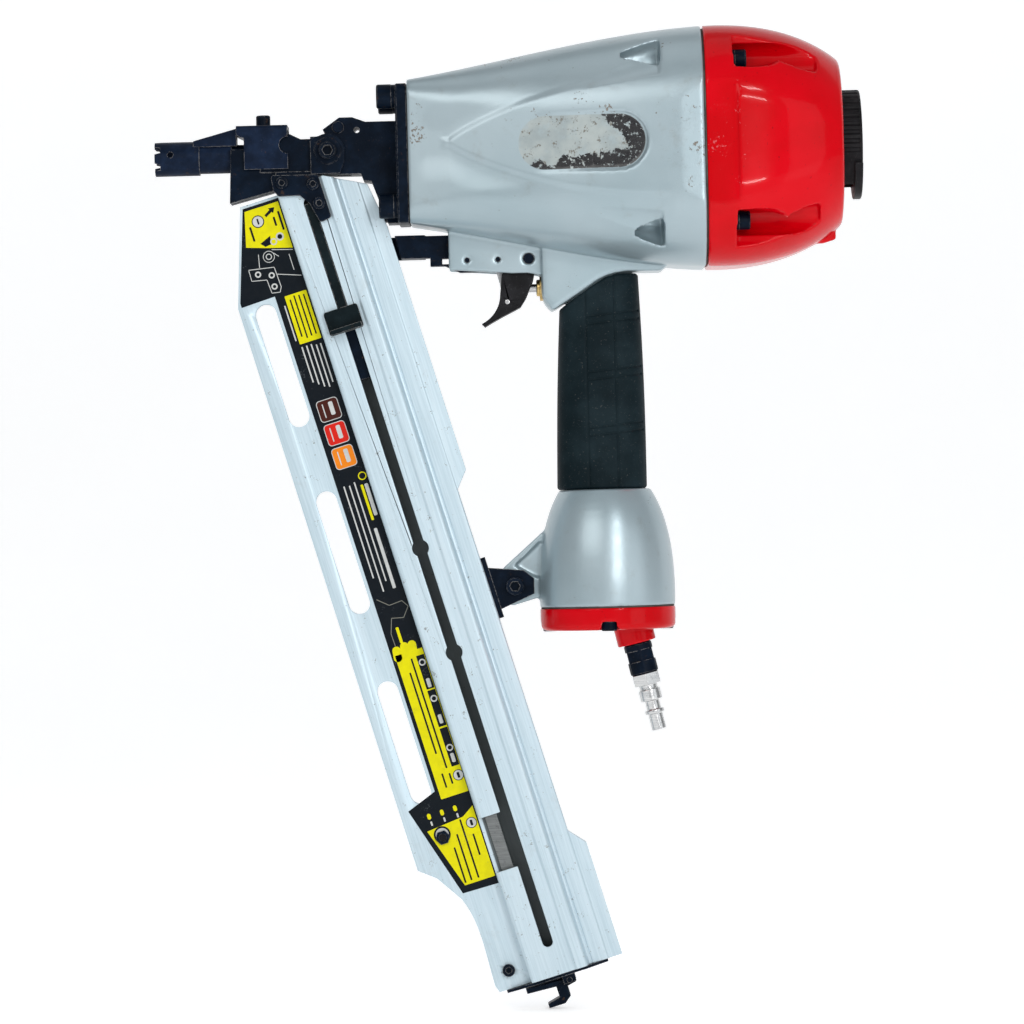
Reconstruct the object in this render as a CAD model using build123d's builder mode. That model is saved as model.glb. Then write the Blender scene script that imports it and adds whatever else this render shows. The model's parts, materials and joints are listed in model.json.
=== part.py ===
from build123d import *
import math
import os

# Pneumatic framing nailer: compressed air drives stick-collated nails into timber.
#
# Row frame: the origin is where the drive axis leaves the housing's nose face. +X runs along the drive
# axis to the rear (nails leave along -X), +Z points away from the handle, and -Y is the near side, which
# carries the pusher tab. All sizes are in millimetres.

os.makedirs("parts", exist_ok=True)

# ---------------------------------------------------------------- driving dimensions
PLAY = 0.05                      # radial play of parts that slide or are slipped together

# housing and cap: (distance along the drive axis, width in Y, height in Z, corner radius, centre height)
HOUSING_SECTIONS = [(0, 66, 77, 9, -0.5), (40, 86, 92, 24, -0.7),
                    (90, 108, 112, 36, -1.2), (158, 126, 129, 42, -1.7)]
CAP_SECTIONS = [(158.8, 126, 129, 42, -1.7), (185, 125, 127, 44, -1.6),
                (212, 111, 113, 45, -1.2), (232.5, 86, 88, 40, -0.6)]
CHAMBER_SECTIONS = [(158.0, 116, 119, 37, -1.7), (185, 115, 117, 39, -1.6),
                    (212, 100, 102, 40, -1.2), (224, 84, 86, 36, -0.9)]
SPLIT_X = 158.0
GASKET_T = 0.8
REST_FLAT_Y = 62.0               # the tool lies on these flats at the widest place
REST_FLAT_X, REST_FLAT_L = 140.0, 36.0
CAP_BOLT_YZ = 43.0               # the four cap bolts stand on a square of this half side
CAP_BOLT_R, CAP_BOLT_HEAD_R, CAP_BOLT_HEAD_H = 3.0, 5.0, 6.0
LUG_FRONT_X = 135.5              # front faces of the cap bolt lugs
CAP_LUG_REAR_X = 173.7           # seats of the cap bolts
RELIEF_R = 8.0

# cylinder group
BORE_R, SLEEVE_R = 28.0, 31.0
SLEEVE_FRONT_X, SLEEVE_REAR_X = 8.1, 152.0
COLLAR_X, COLLAR_W, COLLAR_R = 74.0, 7.0, 38.0
PISTON_X, PISTON_L = 128.0, 18.0
BUMPER_END_X = 33.9
BLADE_Y, BLADE_Z, BLADE_TIP_X = 3.6, 7.0, -33.5
VALVE_R, VALVE_DISC = 36.0, 8.0
VALVE_SKIRT_END_X = 176.0
VALVE_BORE_END_X = 184.0
VALVE_WALL_R, VALVE_WALL_END_X = 41.0, 190.0
POST_WALL_R, BOLT_COLUMN_R = 16.0, 11.5
EXHAUST_POST_R, EXHAUST_R = 17.0, 12.0
EXHAUST_POST_X, EXHAUST_END_X = 166.6, 222.0
DEFLECTOR_R, DEFLECTOR_X, DEFLECTOR_END_X = 28.0, 232.9, 243.4

# nose
FLANGE_REAR_X, FLANGE_X = -0.5, -6.5
FLANGE_HALF_Y, FLANGE_TOP, FLANGE_BOTTOM = 30.0, 36.0, -38.5
NOSE_BOLT_Y, NOSE_BOLT_Z, NOSE_BOLT_R = 21.0, 29.5, 4.0
REAR_BLOCK_X, REAR_BLOCK_Y = -52.8, 13.0
FRONT_BLOCK_X, FRONT_BLOCK_Y = -80.0, 11.5
BARREL_R, BARREL_X = 7.0, -124.5
DRIVE_BORE_R = 4.0
FEED_SLOT = 4.6                  # width of the slot that the nail shanks come up through
FOOT_R, FOOT_BORE_R, FOOT_TIP_X = 9.3, 7.1, -137.0
SADDLE_IN_Y, SADDLE_OUT_Y, SADDLE_TOP_Z = 12.0, 14.0, 16.4
CONTACT_KNOB_X = -78.3
PIVOT_SCREW, ADJUSTER, WEDGE_SCREW = (-43.5, 1.8), (-37.7, 14.2), (-68.6, -15.0)
ARM_Y, ARM_T, ARM_HALF = 14.0, 2.6, 5.0  # the contact arm passes the magazine's far side, then joggles in
JOG_END_X = 7.5

# handle
CORE_CENTRE_X, CORE_X, CORE_Y, CORE_ROUND = 100.5, 35.0, 29.0, 13.0
GRIP_BOTTOM_Z = -184.0
BELL_CENTRE_X, BELL_R, BELL_BOTTOM_Z = 100.9, 36.5, -247.0
END_GASKET_T, END_CAP_BOTTOM_Z = 0.6, -259.5
END_SCREW_R = 31.0               # pitch radius of the end cap screws
INLET_LEAN = 13.0                # the air inlet leans back by this angle, in degrees
INLET_START = Vector(115.5, 0, -264.5)
INLET_BOSS_D, SWIVEL_R, SWIVEL_L = 3.0, 7.6, 17.0
PLUG_HEX, PLUG_COLLAR_R, PLUG_RING_R, PLUG_TIP_R, PLUG_TIP_L = 14.0, 5.95, 5.3, 3.95, 9.0
SUPPORT_BOLT = (51.1, -235.0)

# trigger
CHEEK_HALF, SLOT_HALF = 13.0, 8.5
TRIGGER_HOLLOW_HALF, TOE_HALF, LEVER_HALF = 5.4, 3.2, 3.4
TRIGGER_PIVOT_X, TRIGGER_PIVOT_Z = 63.0, -58.9
LEVER_PIVOT_X, LEVER_PIVOT_Z = 51.0, -81.8
VALVE_Z, VALVE_BODY_R, STEM_R, STEM_HEAD_R = -74.5, 7.0, 2.2, 4.5
STEM_TIP_X, STEM_HEAD_X, VALVE_SPRING_END_X = 57.6, 76.0, 90.0
GUIDE_PIN_X, GUIDE_PIN_Z, GUIDE_PIN_R = (30.0, 46.5), -59.0, 1.4

# magazine: a runs across it from the nail-point edge, s runs down it, n stands out on the near side
MAG_LEAN = 16.4
MAG_CORNER = Vector(-110.4, 0, -30.3)
MAG_LENGTH = 448.0
PLATE_IN, PLATE_OUT = 2.2, 4.75
CASING_A, CASING_EDGE_A, CASING_N, RIDGE_N = 40.2, 64.5, 13.0, 14.5
SPINE_A, FLANGE_A, SPINE_N = 83.8, 91.3, 9.0
CAVITY_N, CAVITY_A = 4.8, 81.5
CHAMBER_N, CHAMBER_IN_A, CHAMBER_OUT_A = 10.6, 43.0, 66.0
SLOT_A, SLOT_W, SLOT_TOP_S, SLOT_END_S = 55.0, 5.6, 9.0, 432.0
WINDOW_A, WINDOW_W, WINDOW_L, WINDOW_S = 14.3, 11.5, 69.0, (90.3, 196.3, 304.0)
TAB_S, TAB_L = 70.7, 13.3
NAIL_RAIL_A = (68.0, 75.5)
FAR_LEG_N = 7.4
TAIL_SCREW, ANGLE_KNOB, LATCH_PIVOT = (30.3, -438.0), (18.4, -359.0), (60.0, -452.5)
BRACKET_SCREWS, BRACKET_T = ((60.2, 2.8), (60.2, 13.6)), 2.4
COIL_S, COIL_N, COIL_R = 103.0, 3.2, 6.2
CARRIAGE_TOP_N = 10.4

# ---------------------------------------------------------------- planes
lean = math.radians(MAG_LEAN)
ACROSS = Vector(math.cos(lean), 0, math.sin(lean))
DOWN = Vector(math.sin(lean), 0, -math.cos(lean))
NEAR = Vector(0, -1, 0)
inlet_lean = math.radians(INLET_LEAN)
INLET_AXIS = Vector(math.sin(inlet_lean), 0, -math.cos(inlet_lean))


def cross_plane(x):
    """Plane square to the drive axis; sketch coordinates are (Y, Z)."""
    return Plane.YZ.offset(x)


def side_plane(y):
    """Plane parallel to the side view, facing the near side; sketch coordinates are (X, Z)."""
    return Plane.XZ.offset(-y)


def mag_side(n):
    """Side-view plane of the magazine at height n; sketch coordinates are (a, -s)."""
    return Plane(origin=MAG_CORNER + NEAR * n, x_dir=ACROSS, z_dir=NEAR)


def mag_end(s):
    """Plane square to the magazine at distance s down it; sketch coordinates are (a, n)."""
    return Plane(origin=MAG_CORNER + DOWN * s, x_dir=ACROSS, z_dir=DOWN)


def mag_across(a):
    """Plane across the magazine at distance a; sketch coordinates are (s, n)."""
    return Plane(origin=MAG_CORNER + ACROSS * a, x_dir=DOWN, z_dir=ACROSS * -1)


def inlet_plane(distance):
    """Plane square to the air inlet, this far out along it; sketch coordinates are (Y, along the lean)."""
    return Plane(origin=INLET_START + INLET_AXIS * distance, x_dir=(0, 1, 0), z_dir=INLET_AXIS)


# ================================================================ body
with BuildPart() as badge_recess:
    # the shallow oval recess in each side, as a shell that follows the barrel's flare
    with BuildSketch(side_plane(0)):
        with Locations((92.7, 0.5)):
            SlotOverall(70, 31)
    extrude(amount=75, both=True)
    with BuildSketch(Plane.XY):
        with BuildLine():
            Polyline((50, 46.3), (90, 53.2), (135, 58.8), (135, 75), (50, 75), (50, 46.3))
        make_face()
        mirror(about=Plane.XZ)
    extrude(amount=30, both=True, mode=Mode.INTERSECT)

with BuildPart() as housing:
    for x, width, height, corner, centre_z in HOUSING_SECTIONS:
        with BuildSketch(cross_plane(x)):
            with Locations((0, centre_z)):
                RectangleRounded(width, height, corner)
    loft()
    # trigger cheeks and the wall behind them
    with BuildSketch(side_plane(0)):
        with BuildLine():
            Polyline((20, -34), (20, -64), (53, -66.6), (62, -66.6), (69.5, -68), (69.5, -77))
            ThreePointArc((69.5, -77), (71.3, -83.5), (75, -87.6))
            Polyline((75, -87.6), (85, -81.2), (85, -34), (20, -34))
        make_face()
    extrude(amount=CHEEK_HALF, both=True)
    # neck between the barrel and the grip
    with BuildSketch(side_plane(0)):
        with BuildLine():
            Polyline((70, -40), (70, -79), (75, -87.6), (95.5, -74.6))
            ThreePointArc((95.5, -74.6), (110, -67.9), (121, -67.3))
            Polyline((121, -67.3), (134, -67.5), (140, -62), (140, -40), (70, -40))
        make_face()
    extrude(amount=17, both=True)
    # handle core
    with BuildSketch(Plane.XY.offset(-50)):
        with Locations((CORE_CENTRE_X, 0)):
            RectangleRounded(CORE_X, CORE_Y, CORE_ROUND)
    extrude(amount=GRIP_BOTTOM_Z - 6 + 50)
    # bell-shaped air chamber at the foot of the handle
    with BuildSketch(side_plane(0)):
        with BuildLine():
            Line((BELL_CENTRE_X, GRIP_BOTTOM_Z), (BELL_CENTRE_X + 24.5, GRIP_BOTTOM_Z))
            Spline((BELL_CENTRE_X + 24.5, GRIP_BOTTOM_Z), (BELL_CENTRE_X + 28.3, -191),
                   (BELL_CENTRE_X + 32.3, -202), (BELL_CENTRE_X + 35.2, -216),
                   (BELL_CENTRE_X + BELL_R, BELL_BOTTOM_Z))
            Line((BELL_CENTRE_X + BELL_R, BELL_BOTTOM_Z), (BELL_CENTRE_X, BELL_BOTTOM_Z))
            Line((BELL_CENTRE_X, BELL_BOTTOM_Z), (BELL_CENTRE_X, GRIP_BOTTOM_Z))
        make_face()
    revolve(axis=Axis((BELL_CENTRE_X, 0, 0), (0, 0, 1)))
    # web that carries the magazine's rear support, with its lightening pocket
    with BuildSketch(side_plane(0)):
        Polygon((76, -198), (44.5, -225.5), (44.8, -243), (49.6, -245.6), (64, -241.5), (76, -238),
                align=None)
    extrude(amount=4.5, both=True)
    with BuildSketch(side_plane(-4.5), side_plane(4.5 - 2.2)):
        Polygon((67, -209.5), (51, -224), (60, -229.5), (67, -232), align=None)
    extrude(amount=-2.2, mode=Mode.SUBTRACT)
    with BuildSketch(side_plane(0)):
        with Locations(SUPPORT_BOLT):
            Circle(3 + PLAY)
    extrude(amount=10, both=True, mode=Mode.SUBTRACT)
    # resting flats, bolt pockets and oval recesses
    with BuildSketch(cross_plane(REST_FLAT_X)):
        with Locations((REST_FLAT_Y + 5, 0), (-REST_FLAT_Y - 5, 0)):
            Rectangle(10, 90)
    extrude(amount=30, mode=Mode.SUBTRACT)
    for y in (-CAP_BOLT_YZ, CAP_BOLT_YZ):
        for z in (-CAP_BOLT_YZ, CAP_BOLT_YZ):
            reach = 1.10
            with BuildSketch(cross_plane(LUG_FRONT_X)):
                with Locations((y * reach, z * reach)):
                    Circle(RELIEF_R + 1.5)
            with BuildSketch(cross_plane(LUG_FRONT_X - 27.5)):
                with Locations((y * 1.02, z * 1.02)):
                    Circle(1.0)
            loft(mode=Mode.SUBTRACT)
    add(badge_recess.part, mode=Mode.SUBTRACT)
    # cylinder seat, two air chambers with the collar rib between them, and the opening for the driver
    with BuildSketch(Plane.XY):
        with BuildLine():
            Polyline((8, 0), (8, SLEEVE_R + PLAY), (28, SLEEVE_R + PLAY), (28, 36), (COLLAR_X, 46.5),
                     (COLLAR_X, COLLAR_R + PLAY), (COLLAR_X + COLLAR_W, COLLAR_R + PLAY),
                     (COLLAR_X + COLLAR_W, 48), (SPLIT_X, 54), (SPLIT_X, 0), (8, 0))
        make_face()
    revolve(axis=Axis.X, mode=Mode.SUBTRACT)
    with BuildSketch(cross_plane(0)):
        Circle(9)
    extrude(amount=10, mode=Mode.SUBTRACT)
    # threaded holes for the nose bolts and the cap bolts
    with BuildSketch(cross_plane(0)):
        with GridLocations(2 * NOSE_BOLT_Y, 2 * NOSE_BOLT_Z, 2, 2):
            Circle(NOSE_BOLT_R + PLAY)
    extrude(amount=18, mode=Mode.SUBTRACT)
    with BuildSketch(cross_plane(SPLIT_X)):
        with GridLocations(2 * CAP_BOLT_YZ, 2 * CAP_BOLT_YZ, 2, 2):
            Circle(CAP_BOLT_R + PLAY)
    extrude(amount=-18, mode=Mode.SUBTRACT)
    # slot between the cheeks, with a step that seats the contact spring
    with BuildSketch(side_plane(0)):
        Polygon((18, -44.4), (34, -44.4), (46, -47.6), (57, -49.6), (57, -54), (68.5, -54), (68.5, -80),
                (18, -80), align=None)
    extrude(amount=SLOT_HALF, both=True, mode=Mode.SUBTRACT)
    with BuildSketch(side_plane(0)):
        with Locations(*[(x, GUIDE_PIN_Z) for x in GUIDE_PIN_X]):
            Circle(GUIDE_PIN_R + PLAY)
        with Locations((TRIGGER_PIVOT_X, TRIGGER_PIVOT_Z)):
            Circle(3 + PLAY)
    extrude(amount=CHEEK_HALF + 1, both=True, mode=Mode.SUBTRACT)
    # trigger valve bore, air passage through the handle and the bell's cavity
    with BuildSketch(cross_plane(68)):
        with Locations((0, VALVE_Z)):
            Circle(VALVE_BODY_R + PLAY)
    extrude(amount=24, mode=Mode.SUBTRACT)
    with BuildSketch(Plane.XY.offset(-46)):
        with Locations((CORE_CENTRE_X, 0)):
            RectangleRounded(CORE_X - 10, CORE_Y - 9, 9)
    extrude(amount=BELL_BOTTOM_Z + 60 + 46, mode=Mode.SUBTRACT)
    with BuildSketch(side_plane(0)):
        Polygon((BELL_CENTRE_X, -186), (BELL_CENTRE_X + 9.5, -186), (BELL_CENTRE_X + 26, -214),
                (BELL_CENTRE_X + 26, BELL_BOTTOM_Z), (BELL_CENTRE_X, BELL_BOTTOM_Z), align=None)
    revolve(axis=Axis((BELL_CENTRE_X, 0, 0), (0, 0, 1)), mode=Mode.SUBTRACT)
    with BuildSketch(Plane.XY.offset(BELL_BOTTOM_Z)):
        with Locations((BELL_CENTRE_X, 0)):
            with PolarLocations(END_SCREW_R, 4):
                Circle(2.5 + PLAY)
    extrude(amount=14, mode=Mode.SUBTRACT)
housing.part.label = "housing"
export_step(housing.part, "parts/housing.step")

with BuildPart() as grip_sleeve:
    with BuildSketch(Plane.XY.offset(-60)):
        with Locations((101.2, 0)):
            RectangleRounded(41.5, 35.5, 15)
    with BuildSketch(Plane.XY.offset(GRIP_BOTTOM_Z + 0.1)):
        with Locations((99.6, 0)):
            RectangleRounded(48.5, 38, 17)
    loft()
    # the rubber's upper edge sweeps up under the barrel
    with BuildSketch(side_plane(0)):
        with BuildLine():
            Polyline((60, -50), (60, -87.7), (75, -87.7), (95.5, -74.7))
            ThreePointArc((95.5, -74.7), (110, -68), (121, -67.4))
            Polyline((121, -67.4), (140, -67.6), (140, -50), (60, -50))
        make_face()
    extrude(amount=30, both=True, mode=Mode.SUBTRACT)
    with BuildSketch(Plane.XY.offset(-50)):
        with Locations((CORE_CENTRE_X, 0)):
            RectangleRounded(CORE_X + 2 * PLAY, CORE_Y + 2 * PLAY, CORE_ROUND + PLAY)
    extrude(amount=GRIP_BOTTOM_Z - 10 + 50, mode=Mode.SUBTRACT)
grip_sleeve.part.label = "grip_sleeve"
export_step(grip_sleeve.part, "parts/grip_sleeve.step")

with BuildPart() as cap_chamber:
    # air space between the cap's skin, the head valve's wall, the exhaust post and the bolt columns
    for x, width, height, corner, centre_z in CHAMBER_SECTIONS:
        with BuildSketch(cross_plane(x)):
            with Locations((0, centre_z)):
                RectangleRounded(width, height, corner)
    loft()
    with BuildSketch(cross_plane(SPLIT_X)):
        Circle(VALVE_WALL_R)
    extrude(amount=VALVE_WALL_END_X - SPLIT_X, mode=Mode.SUBTRACT)
    with BuildSketch(cross_plane(SPLIT_X)):
        Circle(POST_WALL_R)
        with GridLocations(2 * CAP_BOLT_YZ, 2 * CAP_BOLT_YZ, 2, 2):
            Circle(BOLT_COLUMN_R)
    extrude(amount=CHAMBER_SECTIONS[-1][0] - SPLIT_X + 1, mode=Mode.SUBTRACT)

with BuildPart() as cylinder_cap:
    for x, width, height, corner, centre_z in CAP_SECTIONS:
        with BuildSketch(cross_plane(x)):
            with Locations((0, centre_z)):
                RectangleRounded(width, height, corner)
    loft()
    fillet(cylinder_cap.faces().sort_by(Axis.X)[-1].edges(), 5)
    # small lug low on the rear shoulder
    with BuildSketch(side_plane(0)):
        Polygon((212, -44), (229, -44), (229, -52.5), (222, -54.5), (212, -54.5), align=None)
    extrude(amount=5, both=True)
    with BuildSketch(cross_plane(SPLIT_X)):
        with Locations((REST_FLAT_Y + 5, 0), (-REST_FLAT_Y - 5, 0)):
            Rectangle(10, 90)
    extrude(amount=REST_FLAT_X + REST_FLAT_L - SPLIT_X, mode=Mode.SUBTRACT)
    # relief pockets behind the bolt heads
    for y in (-CAP_BOLT_YZ, CAP_BOLT_YZ):
        for z in (-CAP_BOLT_YZ, CAP_BOLT_YZ):
            with BuildSketch(cross_plane(CAP_LUG_REAR_X)):
                with Locations((y, z), (y * 1.2, z * 1.2)):
                    Circle(RELIEF_R)
            extrude(amount=45, mode=Mode.SUBTRACT)
    with BuildSketch(cross_plane(SPLIT_X)):
        with GridLocations(2 * CAP_BOLT_YZ, 2 * CAP_BOLT_YZ, 2, 2):
            Circle(CAP_BOLT_R + PLAY)
    extrude(amount=30, mode=Mode.SUBTRACT)
    # bore for the head valve around the exhaust post, and the passage through the post
    with BuildSketch(Plane.XY):
        with BuildLine():
            Polyline((SPLIT_X, 0), (SPLIT_X, VALVE_R + PLAY), (VALVE_BORE_END_X, VALVE_R + PLAY),
                     (VALVE_BORE_END_X, EXHAUST_POST_R), (EXHAUST_POST_X, EXHAUST_POST_R),
                     (EXHAUST_POST_X, 0), (SPLIT_X, 0))
        make_face()
        with BuildLine():
            Polyline((EXHAUST_POST_X, 0), (EXHAUST_POST_X, EXHAUST_R), (EXHAUST_END_X, EXHAUST_R),
                     (EXHAUST_END_X, 0), (EXHAUST_POST_X, 0))
        make_face()
    revolve(axis=Axis.X, mode=Mode.SUBTRACT)
    add(cap_chamber.part, mode=Mode.SUBTRACT)
    # outlet holes behind the deflector and the hole of its screw
    with BuildSketch(cross_plane(EXHAUST_END_X - 1)):
        with PolarLocations(8.5, 6):
            Circle(2.7)
        Circle(2 + PLAY)
    extrude(amount=20, mode=Mode.SUBTRACT)
cylinder_cap.part.label = "cylinder_cap"
export_step(cylinder_cap.part, "parts/cylinder_cap.step")

with BuildPart() as cap_bolts:
    with BuildSketch(cross_plane(CAP_LUG_REAR_X + 1.6)):
        with GridLocations(2 * CAP_BOLT_YZ, 2 * CAP_BOLT_YZ, 2, 2):
            Circle(CAP_BOLT_HEAD_R)
    extrude(amount=CAP_BOLT_HEAD_H)
    chamfer(cap_bolts.faces().sort_by(Axis.X)[-1:-5:-1].edges(), 0.6)
    with BuildSketch(cross_plane(CAP_LUG_REAR_X + 1.6 + CAP_BOLT_HEAD_H)):
        with GridLocations(2 * CAP_BOLT_YZ, 2 * CAP_BOLT_YZ, 2, 2):
            RegularPolygon(2.5, 6, major_radius=False)
    extrude(amount=-3.5, mode=Mode.SUBTRACT)
    with BuildSketch(cross_plane(CAP_LUG_REAR_X + 1.6)):
        with GridLocations(2 * CAP_BOLT_YZ, 2 * CAP_BOLT_YZ, 2, 2):
            Circle(CAP_BOLT_R)
    extrude(amount=-32)
cap_bolts.part.label = "cap_bolts"
export_step(cap_bolts.part, "parts/cap_bolts.step")

with BuildPart() as exhaust_deflector:
    with BuildSketch(cross_plane(DEFLECTOR_X)):
        Circle(DEFLECTOR_R)
    extrude(amount=DEFLECTOR_END_X - DEFLECTOR_X)
    # lip that turns the exhaust away
    with BuildSketch(cross_plane(DEFLECTOR_END_X)):
        with BuildLine():
            CenterArc((0, 0), 31, 205, 130)
            Line((31 * math.cos(math.radians(335)), 31 * math.sin(math.radians(335))), (0, 0))
            Line((0, 0), (31 * math.cos(math.radians(205)), 31 * math.sin(math.radians(205))))
        make_face()
    extrude(amount=-4.2)
    fillet(exhaust_deflector.faces().sort_by(Axis.X)[-1].edges(), 1.0)
    # grip ribs over the upper part of the rim
    with BuildSketch(cross_plane(DEFLECTOR_X)):
        with PolarLocations(DEFLECTOR_R + 0.7, 23, start_angle=-22, angular_range=224):
            Circle(1.7)
    extrude(amount=DEFLECTOR_END_X - DEFLECTOR_X - 1.2, mode=Mode.SUBTRACT)
    # hollow underside and the outlet under the lip
    with BuildSketch(cross_plane(DEFLECTOR_X)):
        Circle(23.5)
        Circle(5, mode=Mode.SUBTRACT)
    extrude(amount=7.2, mode=Mode.SUBTRACT)
    with BuildSketch(cross_plane(DEFLECTOR_X)):
        with Locations((0, -24)):
            Rectangle(30, 12)
    extrude(amount=6, mode=Mode.SUBTRACT)
    with BuildSketch(cross_plane(DEFLECTOR_X)):
        Circle(2 + PLAY)
    extrude(amount=20, mode=Mode.SUBTRACT)
    with BuildSketch(cross_plane(DEFLECTOR_END_X)):
        Circle(5)
    extrude(amount=-2.6, mode=Mode.SUBTRACT)
exhaust_deflector.part.label = "exhaust_deflector"
export_step(exhaust_deflector.part, "parts/exhaust_deflector.step")

with BuildPart() as deflector_screw:
    with BuildSketch(cross_plane(DEFLECTOR_END_X - 2.55)):
        Circle(4.2)
    extrude(amount=2.4)
    fillet(deflector_screw.faces().sort_by(Axis.X)[-1].edges(), 1.0)
    with BuildSketch(cross_plane(DEFLECTOR_END_X - 0.15)):
        Rectangle(5, 1.1)
        Rectangle(1.1, 5)
    extrude(amount=-1.5, mode=Mode.SUBTRACT)
    with BuildSketch(cross_plane(DEFLECTOR_END_X - 2.55)):
        Circle(2)
    extrude(amount=-16)
deflector_screw.part.label = "deflector_screw"
export_step(deflector_screw.part, "parts/deflector_screw.step")

# ================================================================ cylinder group
with BuildPart() as cylinder_sleeve:
    with BuildSketch(Plane.XY):
        with BuildLine():
            Polyline((SLEEVE_FRONT_X, BORE_R), (SLEEVE_FRONT_X, SLEEVE_R), (COLLAR_X + PLAY, SLEEVE_R),
                     (COLLAR_X + PLAY, COLLAR_R - 0.1), (COLLAR_X + COLLAR_W, COLLAR_R - 0.1),
                     (COLLAR_X + COLLAR_W, SLEEVE_R), (SLEEVE_REAR_X, SLEEVE_R), (SLEEVE_REAR_X, BORE_R),
                     (SLEEVE_FRONT_X, BORE_R))
        make_face()
        with Locations((COLLAR_X + COLLAR_W / 2, COLLAR_R - 0.9)):
            Rectangle(2.3, 2.3, mode=Mode.SUBTRACT)
    revolve(axis=Axis.X)
    # return-air holes, and the bleed holes that the piston passes at the end of its stroke
    for x, count, radius in ((37.5, 8, 1.6), (58.0, 12, 1.2)):
        for turn in range(count):
            with BuildSketch(Plane(origin=(x, 0, 0), z_dir=(0, math.cos(2 * math.pi * turn / count),
                                                            math.sin(2 * math.pi * turn / count)))):
                Circle(radius)
            extrude(amount=SLEEVE_R + 1, mode=Mode.SUBTRACT)
cylinder_sleeve.part.label = "cylinder_sleeve"
export_step(cylinder_sleeve.part, "parts/cylinder_sleeve.step")

with BuildPart(cross_plane(COLLAR_X + COLLAR_W / 2)) as cylinder_seal:
    Torus(COLLAR_R - 1.0, 1.0)
cylinder_seal.part.label = "cylinder_seal"
export_step(cylinder_seal.part, "parts/cylinder_seal.step")

with BuildPart() as bumper:
    with BuildSketch(Plane.XY):
        with BuildLine():
            Line((8.1, 6), (8.1, BORE_R - 0.1))
            Line((8.1, BORE_R - 0.1), (13, BORE_R - 0.1))
            ThreePointArc((13, BORE_R - 0.1), (20, BORE_R - 4), (27, BORE_R - 2))
            Polyline((27, BORE_R - 2), (BUMPER_END_X, BORE_R - 5), (BUMPER_END_X, 6), (8.1, 6))
        make_face()
    revolve(axis=Axis.X)
bumper.part.label = "bumper"
export_step(bumper.part, "parts/bumper.step")

with BuildPart() as piston:
    with BuildSketch(Plane.XY):
        with BuildLine():
            Polyline((PISTON_X, 0), (PISTON_X, 23), (PISTON_X + 4, BORE_R - 0.08),
                     (PISTON_X + PISTON_L, BORE_R - 0.08), (PISTON_X + PISTON_L, 20), (PISTON_X + 11, 12),
                     (PISTON_X + 11, 0), (PISTON_X, 0))
        make_face()
        with Locations((PISTON_X + 10, BORE_R - 1)):
            Rectangle(2.3, 2.3, mode=Mode.SUBTRACT)
    revolve(axis=Axis.X)
    with BuildSketch(cross_plane(PISTON_X)):
        Circle(5 + PLAY)
    extrude(amount=10, mode=Mode.SUBTRACT)
piston.part.label = "piston"
export_step(piston.part, "parts/piston.step")

with BuildPart(cross_plane(PISTON_X + 10)) as piston_ring:
    Torus(BORE_R - 1.05, 1.0)
piston_ring.part.label = "piston_ring"
export_step(piston_ring.part, "parts/piston_ring.step")

with BuildPart() as driver_blade:
    with BuildSketch(cross_plane(PISTON_X)):
        Rectangle(BLADE_Y, BLADE_Z)
    extrude(amount=BLADE_TIP_X - PISTON_X)
    with BuildSketch(cross_plane(PISTON_X)):
        Circle(5)
    extrude(amount=9.9)
driver_blade.part.label = "driver_blade"
export_step(driver_blade.part, "parts/driver_blade.step")

with BuildPart() as head_valve:
    with BuildSketch(Plane.XY):
        with BuildLine():
            Polyline((SLEEVE_REAR_X + 0.1, 12), (SLEEVE_REAR_X + 0.1, VALVE_R - 3),
                     (SPLIT_X + 2, VALVE_R - 0.05), (VALVE_SKIRT_END_X, VALVE_R - 0.05),
                     (VALVE_SKIRT_END_X, 28), (SLEEVE_REAR_X + VALVE_DISC, 28),
                     (SLEEVE_REAR_X + VALVE_DISC, 12), (SLEEVE_REAR_X + 0.1, 12))
        make_face()
        with Locations((170, VALVE_R - 0.85)):
            Rectangle(2.3, 2.3, mode=Mode.SUBTRACT)
    revolve(axis=Axis.X)
head_valve.part.label = "head_valve"
export_step(head_valve.part, "parts/head_valve.step")

with BuildPart(cross_plane(170)) as head_valve_seal:
    Torus(VALVE_R - 0.97, 1.0)
head_valve_seal.part.label = "head_valve_seal"
export_step(head_valve_seal.part, "parts/head_valve_seal.step")

with BuildPart() as head_valve_spring:
    with BuildLine():
        head_coils = Helix(pitch=4.4, height=22, radius=22.5, center=(SLEEVE_REAR_X + VALVE_DISC + 1, 0, 0),
                           direction=(1, 0, 0))
    with BuildSketch(Plane(origin=head_coils @ 0, z_dir=head_coils % 0)):
        Circle(0.9)
    sweep(path=head_coils, is_frenet=True)
head_valve_spring.part.label = "head_valve_spring"
export_step(head_valve_spring.part, "parts/head_valve_spring.step")

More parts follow.
